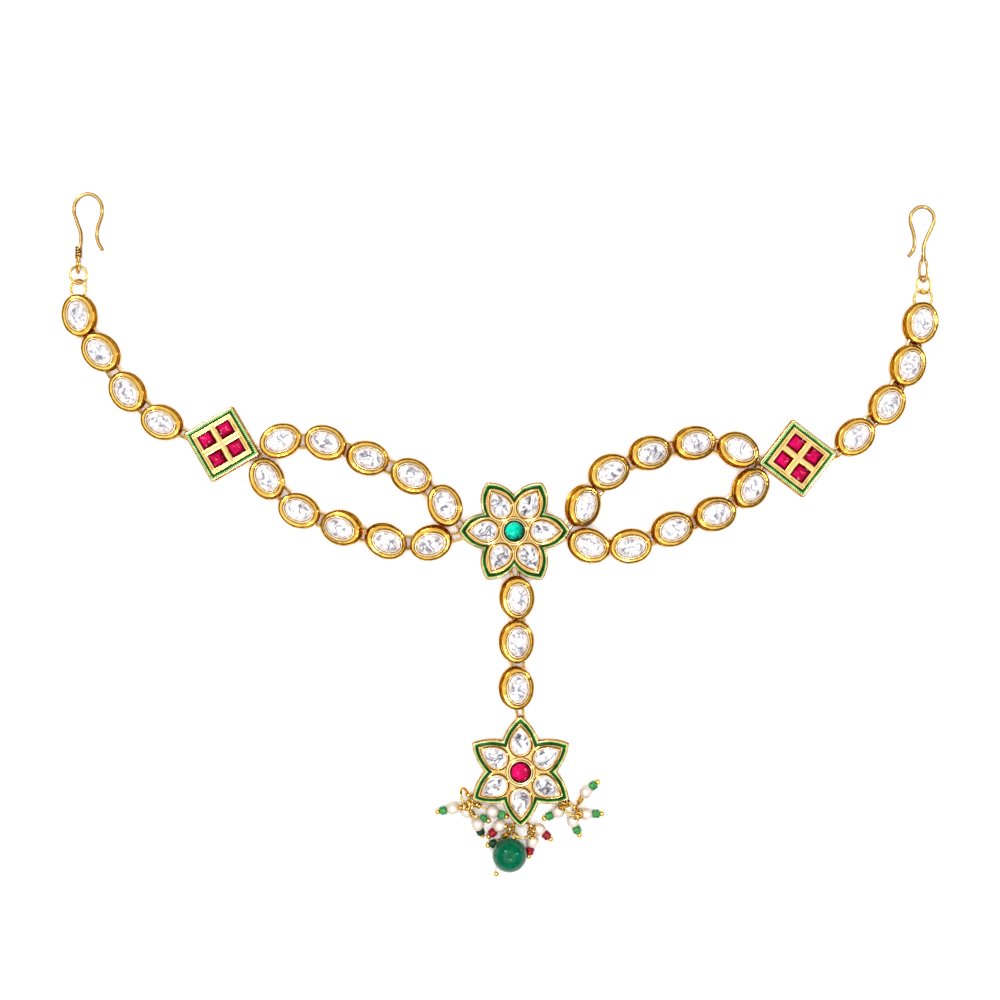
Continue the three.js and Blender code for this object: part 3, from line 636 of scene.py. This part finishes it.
def pearl():
    """A glass pearl: white with a warm bloom and warmer, darker painted shade down its flanks,
    under a glossy clear skin."""
    skin = {"Coat_Weight": 1.0, "Coat_Roughness": 0.3, "Coat_IOR": 2.2}
    made, tree, shader = material("pearl", Roughness=0.4, IOR=1.5, **skin)
    where = object_mm(tree)
    bloom = level(tree, cloud(tree, where, 0.5), 0.35, 0.65)
    middle = mixed(tree, bloom, (0.80, 0.66, 0.57, 1), (0.77, 0.73, 0.65, 1))
    # The flanks get painted shade.
    edge = mixed(tree, bloom, (0.56, 0.31, 0.19, 1), (0.53, 0.39, 0.26, 1))
    tree.links.new(mixed(tree, flank(tree), middle, edge), shader.inputs["Base Color"])
    grain = cloud(tree, where, 5.0)
    tree.links.new(surface_bump(tree, grain, 0.3, 0.02 * MM), shader.inputs["Normal"])
    return made


BEATEN, SMOOTH = 0.12, 0.02  # how deep the waves in the gilding are
# Each gold: pale and deep for its mottle, then the colour of its painted shade.
SETTING_GOLD = ((0.94, 0.58, 0.13), (0.79, 0.40, 0.05), (0.50, 0.21, 0.012))
FACE_GOLD = ((0.97, 0.68, 0.25), (0.91, 0.57, 0.16), (0.70, 0.34, 0.06))
FLOWER_GOLD = ((0.95, 0.60, 0.17), (0.81, 0.44, 0.08), (0.58, 0.26, 0.03))
HOOK_GOLD = ((0.90, 0.61, 0.24), (0.78, 0.47, 0.14), (0.48, 0.23, 0.04))
WIRE_GOLD = ((1.0, 0.76, 0.29), (1.0, 0.66, 0.17), (0.80, 0.45, 0.09))
GILT = gilt("gilt_setting", *SETTING_GOLD, BEATEN, 0.1)
GILT_FACE = gilt("gilt_face", *FACE_GOLD, SMOOTH, 0.1)
GILT_FLOWER = gilt("gilt_flower", *FLOWER_GOLD, SMOOTH, 0.1)
GILT_HOOK = gilt("gilt_hook", *HOOK_GOLD, SMOOTH, 0.8)
GILT_WIRE = gilt("gilt_wire", *WIRE_GOLD, SMOOTH, 0.1)
POLKI = polki("polki_stone", 0.42, 0.08, 0.58, (0.12, 0.10, 0.14), 0.7)
POLKI_PEAR = polki("polki_petal", 0.45, 0.12, 0.6, (0.03, 0.015, 0.03), 0.6)
# Each glass: dark, mid and bright painted tones, and the colour of its painted glints.
REDS = ((0.11, 0.0, 0.008), (0.34, 0.001, 0.034), (0.74, 0.004, 0.12), (0.9, 0.3, 0.42))
SEA_GREENS = ((0.0, 0.06, 0.035), (0.0, 0.26, 0.16), (0.0, 0.72, 0.48), (0.4, 0.8, 0.66))
RUBY = cut_glass("ruby_glass", *REDS)
EMERALD = cut_glass("emerald_glass", *SEA_GREENS)
ENAMEL = enamel("green_enamel", 0.0, 0.2)
ENAMEL_RIBBED = enamel("ribbed_enamel", 0.4, 1.0)
PEARL_SKIN = pearl()
BEADS = {
    "green": bead_glass("green_seed_glass", (0.002, 0.09, 0.02), (0.07, 0.42, 0.10)),
    "dark": bead_glass("dark_seed_glass", (0.0, 0.015, 0.008), (0.01, 0.08, 0.03)),
    "red": bead_glass("red_seed_glass", (0.14, 0.0, 0.005), (0.44, 0.005, 0.025)),
    "white": bead_glass("white_seed_glass", (0.80, 0.78, 0.70), (0.92, 0.90, 0.86)),
    "big": bead_glass("green_bead_glass", (0.0, 0.08, 0.034), (0.0, 0.15, 0.066), 0.18, 1.3, 0.05),
}

# ---- shell helpers


def closed(bm):
    """A finished shell: its doubles merged, and its faces turned outwards."""
    bmesh.ops.remove_doubles(bm, verts=bm.verts, dist=1e-4)
    bmesh.ops.recalc_face_normals(bm, faces=bm.faces)
    return bm


def put(bm, place):
    bmesh.ops.transform(bm, matrix=place, verts=bm.verts)
    return bm


def piece(name, shells, finish, nodes, smooth_to=40):
    """One object from closed shells, in the frame's metres. Edges sharper than smooth_to degrees
    stay crisp, and at 0 every face is flat."""
    whole = bmesh.new()
    for part in shells:
        mesh = bpy.data.meshes.new("shell")
        part.to_mesh(mesh)
        part.free()
        whole.from_mesh(mesh)
        bpy.data.meshes.remove(mesh)
    put(whole, TO_FRAME)
    mesh = bpy.data.meshes.new(name)
    whole.to_mesh(mesh)
    whole.free()
    mesh.shade_smooth() if smooth_to else mesh.shade_flat()
    if smooth_to:
        mesh.set_sharp_from_angle(angle=math.radians(smooth_to))
    mesh.materials.append(finish)
    made = bpy.data.objects.new(name, mesh)
    bpy.context.scene.collection.objects.link(made)
    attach(made, "root")
    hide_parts(*nodes)


def spun(bm, steps):
    """All of a mesh spun about Z to a closed shell."""
    bmesh.ops.spin(
        bm,
        geom=bm.verts[:] + bm.edges[:],
        cent=(0, 0, 0),
        axis=UP,
        dvec=(0, 0, 0),
        angle=2 * math.pi,
        steps=steps,
        use_merge=True,
    )
    return closed(bm)


def turned(rows, steps):
    """A shell turned about Z from rows of (out, up) or (out, up, shade), from axis to axis. The
    shade is painted shade, and below nought a painted highlight.
    """
    bm = bmesh.new()
    shade = bm.verts.layers.float.new("depth_and_painted_light")
    chain = []
    for out, up, *rest in rows:
        vert = bm.verts.new((out, 0, up))
        vert[shade] = rest[0] if rest else 0
        chain.append(vert)
    for pair in zip(chain, chain[1:]):
        bm.edges.new(pair)
    return spun(bm, steps)


def disc(bm, count):
    """A shell's underside, to be moved to its outline."""
    made = bmesh.ops.create_circle(bm, cap_ends=True, segments=count, radius=1)
    return made["verts"][0].link_faces[0]


def lifted(bm, cap, first):
    """Extrudes a cap and returns the new one. Only the first cap stays, as the underside."""
    grown = bmesh.ops.extrude_face_region(bm, geom=[cap])["geom"]
    if not first:
        bmesh.ops.delete(bm, geom=[cap], context="FACES_ONLY")
    return next(item for item in grown if isinstance(item, bmesh.types.BMFace))


def raised(outline, rows, ripple=0.0):
    """A shell carried up an outline through rows of (inset, up, shade), where shade is painted
    shade and below nought a painted highlight. A ripple lifts every other point of the outline,
    and marks it as a rib."""
    bm = bmesh.new()
    shade = bm.verts.layers.float.new("depth_and_painted_light")
    rib = bm.verts.layers.float.new("rib")
    cap = disc(bm, len(outline(0)))
    for step, (inset, up, depth) in enumerate(rows):
        if step:
            cap = lifted(bm, cap, step == 1)
        for i, (vert, (x, y)) in enumerate(zip(cap.verts, outline(inset))):
            vert.co = (x, y, up + (ripple if i % 2 and step > 1 else 0))
            vert[shade] = depth
            vert[rib] = i % 2
    return closed(bm)


def wire(points, radius, loop=False, round_steps=3, smooth=4, painted_highlight=0.0):
    """A round wire through points, its ends closed. A painted highlight makes the wire paler."""
    curve = bpy.data.curves.new("wire", "CURVE")
    curve.dimensions = "3D"
    curve.bevel_depth = radius
    curve.bevel_resolution = round_steps
    curve.resolution_u = smooth
    curve.use_fill_caps = not loop
    spline = curve.splines.new("BEZIER")
    spline.bezier_points.add(len(points) - 1)
    for knot, point in zip(spline.bezier_points, points):
        knot.co = point
    spline.use_cyclic_u = loop
    for knot in spline.bezier_points:
        knot.handle_left_type = knot.handle_right_type = "AUTO"
    holder = bpy.data.objects.new("wire", curve)
    mesh = bpy.data.meshes.new_from_object(holder)
    bm = bmesh.new()
    bm.from_mesh(mesh)
    bpy.data.objects.remove(holder)
    bpy.data.curves.remove(curve)
    bpy.data.meshes.remove(mesh)
    # The painted highlight is marked as shade below nought.
    shade = bm.verts.layers.float.new("depth_and_painted_light")
    for vert in bm.verts:
        vert[shade] = -painted_highlight
    return closed(bm)


def torus(radius, thick, steps, sides):
    bm = bmesh.new()
    bmesh.ops.create_circle(bm, segments=sides, radius=thick)
    put(bm, Matrix.Translation((radius, 0, 0)) @ Matrix.Rotation(math.pi / 2, 4, "X"))
    return spun(bm, steps)


def ball(radius, steps, scale=(1, 1, 1)):
    bm = bmesh.new()
    bmesh.ops.create_uvsphere(bm, u_segments=steps, v_segments=steps * 5 // 8, radius=radius)
    bmesh.ops.scale(bm, vec=scale, verts=bm.verts)
    return closed(bm)


ASTRAY_UP = 0.25  # how much less a corner is astray in height than across
CROWN = 0.04  # how far a stone's middle stands above its table
PATTERN_DEPTH = 90  # how deep in the pattern of painted lines a stone can lie


def facet_stone(outline, rows, seed, jitter):
    """A faceted stone: rows of (inset, up) with each row's corners a little astray and its faces
    cut to triangles. Each facet has its own tone for painted light, and each stone its own place
    in the painted pattern of lines. The tones are drawn in the order of the corners, which is
    the same each run."""
    chance = random.Random(seed)
    bm = bmesh.new()
    edge = bm.verts.layers.float.new("edge")
    local = bm.verts.layers.float_vector.new("local")
    cap = disc(bm, len(outline(0)))
    for step, (inset, up) in enumerate(rows):
        if step:
            cap = lifted(bm, cap, step == 1)
        astray = jitter if step > 1 else 0
        for vert, (x, y) in zip(cap.verts, outline(inset)):
            dx, dy, dz = (chance.uniform(-astray, astray) for _ in range(3))
            vert.co = (x + dx, y + dy, up + dz * ASTRAY_UP)
            vert[edge] = 1 - max(step - 1, 0) / (len(rows) - 2)
    crown = bmesh.ops.poke(bm, faces=[cap])["verts"][0]
    crown[edge] = 0
    crown.co.z += CROWN
    bmesh.ops.triangulate(bm, faces=bm.faces)
    closed(bm)
    facet = bm.faces.layers.float.new("facet")
    bm.verts.index_update()
    for face in sorted(bm.faces, key=lambda face: sorted(vert.index for vert in face.verts)):
        face[facet] = chance.random()
    depth = chance.uniform(0, PATTERN_DEPTH)
    for vert in bm.verts:
        vert[local] = (vert.co.x, vert.co.y, depth)
    return bm


# ---- outlines


def oval(half_long, narrower, count):
    """An oval's outline as a function of the inset."""

    def outline(inset):
        long = half_long - inset
        wide = long - narrower
        return [
            (long * math.cos(a), wide * math.sin(a))
            for a in (2 * math.pi * i / count for i in range(count))
        ]

    return outline


def flower(bulge, count):
    """A flower's outline: each side of a petal bulges between its tip and a notch."""

    def outline(inset):
        tip = PETAL_TIP - TIP_INSET * inset
        notch = PETAL_NOTCH - NOTCH_INSET * inset
        points = []
        for side in range(2 * PETALS):
            ends = []
            for k in (side, side + 1):
                reach = notch if k % 2 else tip
                angle = math.pi * k / PETALS
                ends.append(Vector((reach * math.cos(angle), reach * math.sin(angle))))
            start, stop = ends
            chord = stop - start
            outward = Vector((chord.y, -chord.x)).normalized()
            crest = (start + stop) / 2 + outward * 2 * bulge
            for i in range(count):
                t = i / count
                point = start * (1 - t) ** 2 + crest * 2 * t * (1 - t) + stop * t**2
                points.append((point.x, point.y))
        return points

    return outline


BEND_STEPS = 4  # of a square's round corner
BEND_INSET = 0.3  # how much tighter it gets for each millimetre of inset
TIGHTEST = 0.05


def square(side, corner, count=2):
    """A square's outline with small round corners and each straight side in count parts."""

    def outline(inset):
        half = side / 2 - inset
        bend = max(corner - inset * BEND_INSET, TIGHTEST)
        points = []
        for quarter in range(4):
            turn = Matrix.Rotation(math.pi / 2 * quarter, 2)
            for i in range(BEND_STEPS + 1):
                a = math.pi / 2 * i / BEND_STEPS
                around = Vector((math.cos(a), math.sin(a))) * bend
                points.append(turn @ (Vector((half - bend, half - bend)) + around))
            for i in range(1, count):
                x = (half - bend) * (1 - 2 * i / count)
                points.append(turn @ Vector((x, half)))
        return [(p.x, p.y) for p in points]

    return outline


def pear(count):
    """A petal stone's outline, its point outwards along X: a bow on each side and a round end."""

    def outline(inset):
        half = PEAR["half_wide"] - inset
        middle = PEAR["inner"] + PEAR["half_wide"]
        start = Vector((PEAR["outer"] - PEAR_TIP_INSET * inset, 0))
        bow = [Vector((PEAR_BOW["out"], half * PEAR_BOW["wide"])), Vector((PEAR_BOW["in"], half))]
        stop = Vector((middle, half))
        side = []
        for i in range(count):
            t = i / count
            s = 1 - t
            point = start * s**3 + bow[0] * 3 * s * s * t + bow[1] * 3 * s * t * t + stop * t**3
            side.append((point.x, point.y))
        turn = [
            (middle + half * math.cos(a), half * math.sin(a))
            for a in (math.pi / 2 + math.pi * i / (2 * count) for i in range(2 * count + 1))
        ]
        back = [(x, -y) for x, y in side[:0:-1]]
        return side + turn + back

    return outline


# ---- links


def link_place(x, y, turn, lean, toward):
    """Leans and turns a link about its rim's centre, and lets it down onto the surface."""
    over = math.radians(toward + 90)
    hinge = Vector((math.cos(over), math.sin(over), 0))
    lay = Matrix.Rotation(math.radians(lean), 4, hinge)
    lay = lay @ Matrix.Rotation(math.radians(turn), 4, "Z")
    lay = lay @ Matrix.Translation((0, 0, -LINK_RIM_UP))
    deep = math.hypot(lay[2][0] * LINK_BACK, lay[2][1] * (LINK_BACK - LINK_NARROWER))
    low = lay[2][3] - deep
    return Matrix.Translation((x, y, -low)) @ lay


def reach_of(turn, way):
    """How far a link's rim stands from its middle in a direction across the surface."""
    angle = math.atan2(way.y, way.x) - math.radians(turn)
    half_wide = LINK_RIM - LINK_NARROWER
    return 1 / math.hypot(math.cos(angle) / LINK_RIM, math.sin(angle) / half_wide)


RING_POINTS = 16
SQUARED = 0.6  # makes an oval's sides straighter, where 1 is a plain oval


def oval_ring(start, stop, half_wide, thick, up):
    """A flat oval jump ring between two places."""
    middle = (start + stop) / 2
    along = (stop - start) / 2
    side = Vector((-along.y, along.x)).normalized() * half_wide
    points = []
    for i in range(RING_POINTS):
        a = 2 * math.pi * i / RING_POINTS
        c, s = (math.copysign(abs(f) ** SQUARED, f) for f in (math.cos(a), math.sin(a)))
        place = middle + along * c + side * s
        points.append((place.x, place.y, up))
    # Jump rings get a painted highlight.
    return wire(points, thick, loop=True, round_steps=2, smooth=3, painted_highlight=0.3)


def link_setting(place):
    rows = [(LINK_BACK - out, up, shade) for out, up, shade in LINK_ROWS]
    return put(raised(oval(LINK_BACK, LINK_NARROWER, LINK_SIDES), rows), place)


def link_stone(name, place):
    girdle = LINK_STONE[0][0]
    rows = [(girdle - out, up) for out, up in LINK_STONE]
    return put(facet_stone(oval(girdle, LINK_NARROWER, STONE_SIDES), rows, name, 0.12), place)


for strand, rows in STRANDS.items():
    for i, row in enumerate(rows):
        name = f"{strand}_link_{i + 1}"
        here = Vector(row[:2])
        place = link_place(*row)
        shells = [link_setting(place)]
        if i + 1 < len(rows):
            there = Vector(rows[i + 1][:2])
            way = (there - here).normalized()
            start = here + way * (reach_of(row[2], way) - LINK_TUCK)
            stop = there - way * (reach_of(rows[i + 1][2], way) - LINK_TUCK)
            shells.append(oval_ring(start, stop, **LINK_JUMP))
        for at, last, x, y in STRAND_ENDS:
            if at == strand and i == (len(rows) - 1 if last else 0):
                target = Vector((x, y))
                way = (target - here).normalized()
                start = here + way * (reach_of(row[2], way) - LINK_TUCK)
                shells.append(oval_ring(start, target + way * PLAQUE_TUCK, **PLAQUE_JUMP))
        piece(name + "_setting", shells, GILT, [name])
        piece(name + "_stone", [link_stone(name, place)], POLKI, [name], 0)

# ---- eyes and rings


def ring_frame(name):
    """A ring's middle, the two ways across it and its radius."""
    x, y, up, radius, roll, about = RINGS[name]
    along = Vector((math.cos(math.radians(about)), math.sin(math.radians(about)), 0))
    across = Matrix.Rotation(math.radians(roll), 3, along) @ UP.cross(along)
    return Vector((x, y, up)), along, across, radius


def basis(x_axis, y_axis, origin):
    """The place of a thing whose X and Y lie along two ways."""
    z_axis = x_axis.cross(y_axis)
    place = Matrix((x_axis, y_axis, z_axis)).transposed().to_4x4()
    place.translation = origin
    return place


WIND = 2.1  # how far wound wire gets each turn, in its own radii
PER_TURN = 8


def wrapped(start, stop, radius, thick):
    """Wire wound tight round the X axis between two places."""
    turns = max(round((stop - start) / (WIND * thick)), 2)
    points = []
    for i in range(turns * PER_TURN + 1):
        a = 2 * math.pi * i / PER_TURN
        x = start + (stop - start) * i / (turns * PER_TURN)
        points.append((x, radius * math.cos(a), radius * math.sin(a)))
    return wire(points, thick, round_steps=1, smooth=2)


def eye_on_ring(ring, at, target, coil=True):
    """A round eye that a ring runs through, its shank to a target and the wire wrapped round it."""
    middle, along, across, radius = ring_frame(ring)
    a = math.radians(at)
    centre = middle + along * radius * math.cos(a) + across * radius * math.sin(a)
    way = (Vector(target) - centre).normalized()
    centre += way * DROP_EYE["slack"]
    tangent = across * math.cos(a) - along * math.sin(a)
    normal = (tangent - way * tangent.dot(way)).normalized()
    place = basis(way, normal.cross(way), centre)
    eye = torus(DROP_EYE["radius"], DROP_EYE["wire"], 24, 8)
    long = (Vector(target) - centre).length
    shank = wire([(DROP_EYE["radius"], 0, 0), (long / 2, 0, 0), (long, 0, 0)], PIN)
    shells = [put(eye, place), put(shank, place)]
    if coil:
        start = DROP_EYE["radius"] + COIL["wire"]
        stop = min(long - PEARL - COIL["clear"], start + COIL["long"])
        shells.append(put(wrapped(start, stop, COIL["radius"], COIL["wire"]), place))
    return shells


# ---- flowers


def plaque_place(x, y, turn):
    return Matrix.Translation((x, y, 0)) @ Matrix.Rotation(math.radians(turn), 4, "Z")


for name, row in FLOWERS.items():
    place = plaque_place(*row)
    sides = flower(BULGE[name], 12)
    shells = [raised(sides, TRAY_ROWS), raised(sides, FLOWER_FACE_ROWS)]
    collar_rows = [(inset - COLLAR[name], up, shade) for inset, up, shade in COLLAR_ROWS]
    bezel_rows = collar_rows + PEAR_LIP_ROWS
    stones = []
    for i in range(PETALS):
        spoke = Matrix.Rotation(2 * math.pi * i / PETALS, 4, "Z")
        shells.append(put(raised(pear(8), bezel_rows), spoke))
        stone = facet_stone(pear(3), PEAR_STONE_ROWS, f"{name}{i}", 0.1)
        stones.append(put(stone, spoke))
    shells.append(turned(ROUND_BEZEL_ROWS, 48))
    for part in shells + stones:
        put(part, place)
    if name == "centre_flower":
        finish, glass, slot = GILT_FLOWER, EMERALD, "green_stone"
    else:
        finish, glass, slot = GILT_FACE, RUBY, "red_stone"
        for eye in TIP_EYES:
            shells += eye_on_ring(*eye, coil=False)
    piece(name + "_body", shells, finish, [name])
    piece(name + "_petal_stones", stones, POLKI_PEAR, [name], 0)
    green = put(raised(flower(BULGE[name], 28), ENAMEL_ROWS, RIB), place)
    piece(name + "_enamel", [green], ENAMEL, [name], 60)
    round_stone = facet_stone(oval(ROUND_STONE, 0, 12), ROUND_STONE_ROWS, name, 0.05)
    piece(name + "_round_stone", [put(round_stone, place)], glass, [name + "_stone"], 0)

# ---- squares

CORNERS = ((-1, -1), (1, -1), (1, 1), (-1, 1))
BAR_END = 0.05  # how far a bar's ends slope in at most


def bar(long, wide, rows):
    """A moulded bar along X through rows of (inset, up, shade)."""

    def outline(inset):
        return [
            (sx * (long / 2 - min(inset, BAR_END)), sy * (wide / 2 - inset)) for sx, sy in CORNERS
        ]

    return raised(outline, rows)


for name, row in SQUARES.items():
    place = plaque_place(*row)
    stones = []
    apart, side, corner = (SQUARE_STONE[key] for key in ("apart", "side", "corner"))
    shells = [
        raised(square(SQUARE_SIDE, SQUARE_CORNER), TRAY_ROWS),
        raised(square(SQUARE_SIDE, BED_CORNER), BED_ROWS),
    ]
    rail_middle = SQUARE_SIDE / 2 - RAIL_INSET - RAIL_WIDE / 2
    for quarter in range(4):
        spoke = Matrix.Rotation(math.pi / 2 * quarter, 4, "Z")
        rail = bar(2 * rail_middle + RAIL_WIDE, RAIL_WIDE, RAIL_ROWS)
        shells.append(put(rail, spoke @ Matrix.Translation((0, rail_middle, 0))))
    for quarter in range(2):
        spoke = Matrix.Rotation(math.pi / 2 * quarter, 4, "Z")
        shells.append(put(bar(2 * rail_middle, apart - side, BAR_ROWS), spoke))
    for k, (sx, sy) in enumerate(CORNERS):
        stone = facet_stone(square(side, corner, 1), SQUARE_STONE_ROWS, f"{name}{k}", 0.03)
        stones.append(put(stone, Matrix.Translation((sx * apart / 2, sy * apart / 2, 0))))
    for part in shells + stones:
        put(part, place)
    piece(name + "_body", shells, GILT_FACE, [name], 30)
    piece(name + "_rubies", stones, RUBY, [name], 0)
    green = raised(square(SQUARE_SIDE, SQUARE_CORNER, 48), SQUARE_ENAMEL_ROWS, RIB)
    piece(name + "_enamel", [put(green, place)], ENAMEL_RIBBED, [name], 60)

# ---- hooks and rings

EYE_POINTS = 12

for name, hook in HOOKS.items():
    eye_x, eye_y, half_long, half_wide, roll = hook["eye"]
    roll = math.radians(roll)
    eye_up = half_wide * math.sin(roll) + EYE_WIRE + HOOK_UP
    # The wire lies low, and its last two places rise to the eye.
    low = HOOK_WIRE + HOOK_UP
    heights = [low] * (len(hook["route"]) - 2) + [low + 0.3 * (eye_up - HOOK_WIRE), eye_up]
    route = [(x, y, up) for (x, y), up in zip(hook["route"], heights)]
    loop = []
    for i in range(EYE_POINTS):
        a = 2 * math.pi * i / EYE_POINTS
        across = half_wide * math.cos(a)
        where = (eye_x + across * math.cos(roll), eye_y + half_long * math.sin(a))
        loop.append((*where, eye_up + across * math.sin(roll)))
    x, y, radius, long = hook["knot"]
    along_y = Matrix.Translation((x, y - long / 2, eye_up)) @ Matrix.Rotation(math.pi / 2, 4, "Z")
    shells = [
        wire(route, HOOK_WIRE, smooth=6),
        wire(loop, EYE_WIRE, loop=True),
        put(wrapped(0, long, radius - KNOT_WIRE, KNOT_WIRE), along_y),
    ]
    piece(name + "_wire", shells, GILT_HOOK, [name])

for name in RINGS:
    middle, along, across, radius = ring_frame(name)
    shell = put(torus(radius, RING_WIRE, 48, 12), basis(along, across, middle))
    piece(name + "_wire", [shell], GILT_WIRE, [name])

# ---- drops


def pin_place(centre, aim, dip):
    """The pearl's centre, with Z along the pin."""
    flat = math.cos(math.radians(dip))
    a = math.radians(aim)
    way = Vector((flat * math.cos(a), flat * math.sin(a), -math.sin(math.radians(dip))))
    return Matrix.Translation(centre) @ way.to_track_quat("Z", "X").to_matrix().to_4x4()


def shifted(place, along):
    """The same place, farther along the pin."""
    return place @ Matrix.Translation((0, 0, along))


def head(place, along):
    return put(ball(HEAD, 20), shifted(place, along))


def seed_bead():
    """A small glass bead pinched at its middle."""
    radius, half = SEED["radius"], SEED["half_long"]
    return turned([(radius * out, half * up) for out, up in SEED_ROWS], 20)


for name, (ring, at, centre, aim, dip, glass, reach) in DROPS.items():
    place = pin_place(centre, aim, dip)
    seed_at, head_at = SEED_ALONG + reach, HEAD_ALONG + reach
    gold = eye_on_ring(ring, at, centre)
    gold.append(put(wire([(0, 0, 0), (0, 0, head_at / 2), (0, 0, head_at)], PIN), place))
    gold.append(head(place, head_at))
    piece(name + "_pin", gold, GILT_WIRE, [name])
    bead = put(ball(PEARL, 32, PEARL_SHAPE), place)
    piece(name + "_pearl", [bead], PEARL_SKIN, [name])
    bead = put(seed_bead(), shifted(place, seed_at))
    slot = "red_stone" if glass == "red" else "green_bead"
    piece(name + "_seed", [bead], BEADS[glass], [name])

ring, at, centre, aim, dip, glass = SEED_DROP
place = pin_place(centre, aim, dip)
gold = [*eye_on_ring(ring, at, centre), head(place, HEAD_ALONG - SEED_ALONG)]
piece("lower_drop_2_pin", gold, GILT_WIRE, ["lower_drop_2"])
piece("lower_drop_2_seed", [put(seed_bead(), place)], BEADS[glass], ["lower_drop_2"])

ring, at, centre, aim, dip = BIG_DROP
place = pin_place(centre, aim, dip)
white_at = BIG_BEAD + WHITE_BEAD
head_at = white_at + WHITE_BEAD + HEAD_CLEAR * HEAD
gold = [*eye_on_ring(ring, at, centre), head(place, head_at)]
piece("big_bead_drop_pin", gold, GILT_WIRE, ["big_bead_drop"])
bead = put(ball(BIG_BEAD, 48), place)
piece("big_bead_drop_bead", [bead], BEADS["big"], ["big_bead_drop"])
white = put(ball(WHITE_BEAD, 20), shifted(place, white_at))
piece("big_bead_drop_white_seed", [white], BEADS["white"], ["big_bead_drop"])

# ---- floor and room


def grey(tone):
    return (tone, tone, tone)


# How bright the room is at each height: for the floor, and as metal and stones see it.
OVERHEAD = [(0.0, grey(0.1)), (0.5, grey(0.2)), (0.85, grey(0.8)), (1, grey(5.8))]
SCREENS = [
    (0.0, grey(0.3)),
    (0.3, grey(0.1)),
    (0.58, grey(0.12)),
    (0.7, grey(0.6)),
    (0.8, grey(1.5)),
    (0.92, grey(1.5)),
    (0.97, grey(1.0)),
    (1.0, grey(0.95)),
]
DIMMER = [(0.0, grey(0.6)), (0.5, grey(1.0)), (1, grey(1.2))]
FLOOR_TONE = (*grey(0.96), 1)
SEEN_TONE = (*grey(0.93), 1)  # of the room itself, past the floor
FLOOR_HALF = 2.5  # metres


def floor():
    bm = bmesh.new()
    bmesh.ops.create_grid(bm, x_segments=1, y_segments=1, size=FLOOR_HALF)
    mesh = bpy.data.meshes.new("floor")
    bm.to_mesh(mesh)
    bm.free()
    finish, _, _ = material("floor_paper", Roughness=0.9, Base_Color=FLOOR_TONE)
    mesh.materials.append(finish)
    made = bpy.data.objects.new("floor", mesh)
    bpy.context.scene.collection.objects.link(made)


def room():
    """A pale room. It lights the floor mostly from overhead, so shadows stay under the jewel, and
    shows metal a bright ring of screens round a dull gap."""
    world = bpy.data.worlds.new("room")
    bpy.context.scene.world = world
    world.use_nodes = True
    tree = world.node_tree
    way = node(tree, "TexCoord").outputs["Generated"]
    across, along, height = node(tree, "SeparateXYZ", {0: way}).outputs
    glow = ramp(tree, height, OVERHEAD)
    screens = ramp(tree, height, SCREENS)
    # The screens are dimmer towards the upper right.
    rightward = maths(tree, "MULTIPLY", across, -0.45)
    upward = maths(tree, "MULTIPLY", along, -0.6)
    side = maths(tree, "ADD", maths(tree, "ADD", rightward, upward), 0.5)
    screens = mixed(tree, 1.0, screens, ramp(tree, side, DIMMER), "MULTIPLY")
    path = node(tree, "LightPath").outputs
    seen = mixed(tree, path["Is Diffuse Ray"], screens, glow)
    seen = mixed(tree, path["Is Camera Ray"], seen, SEEN_TONE)
    tree.links.new(seen, tree.nodes["Background"].inputs["Color"])


floor()
room()
bpy.context.scene.view_settings.view_transform = "Standard"
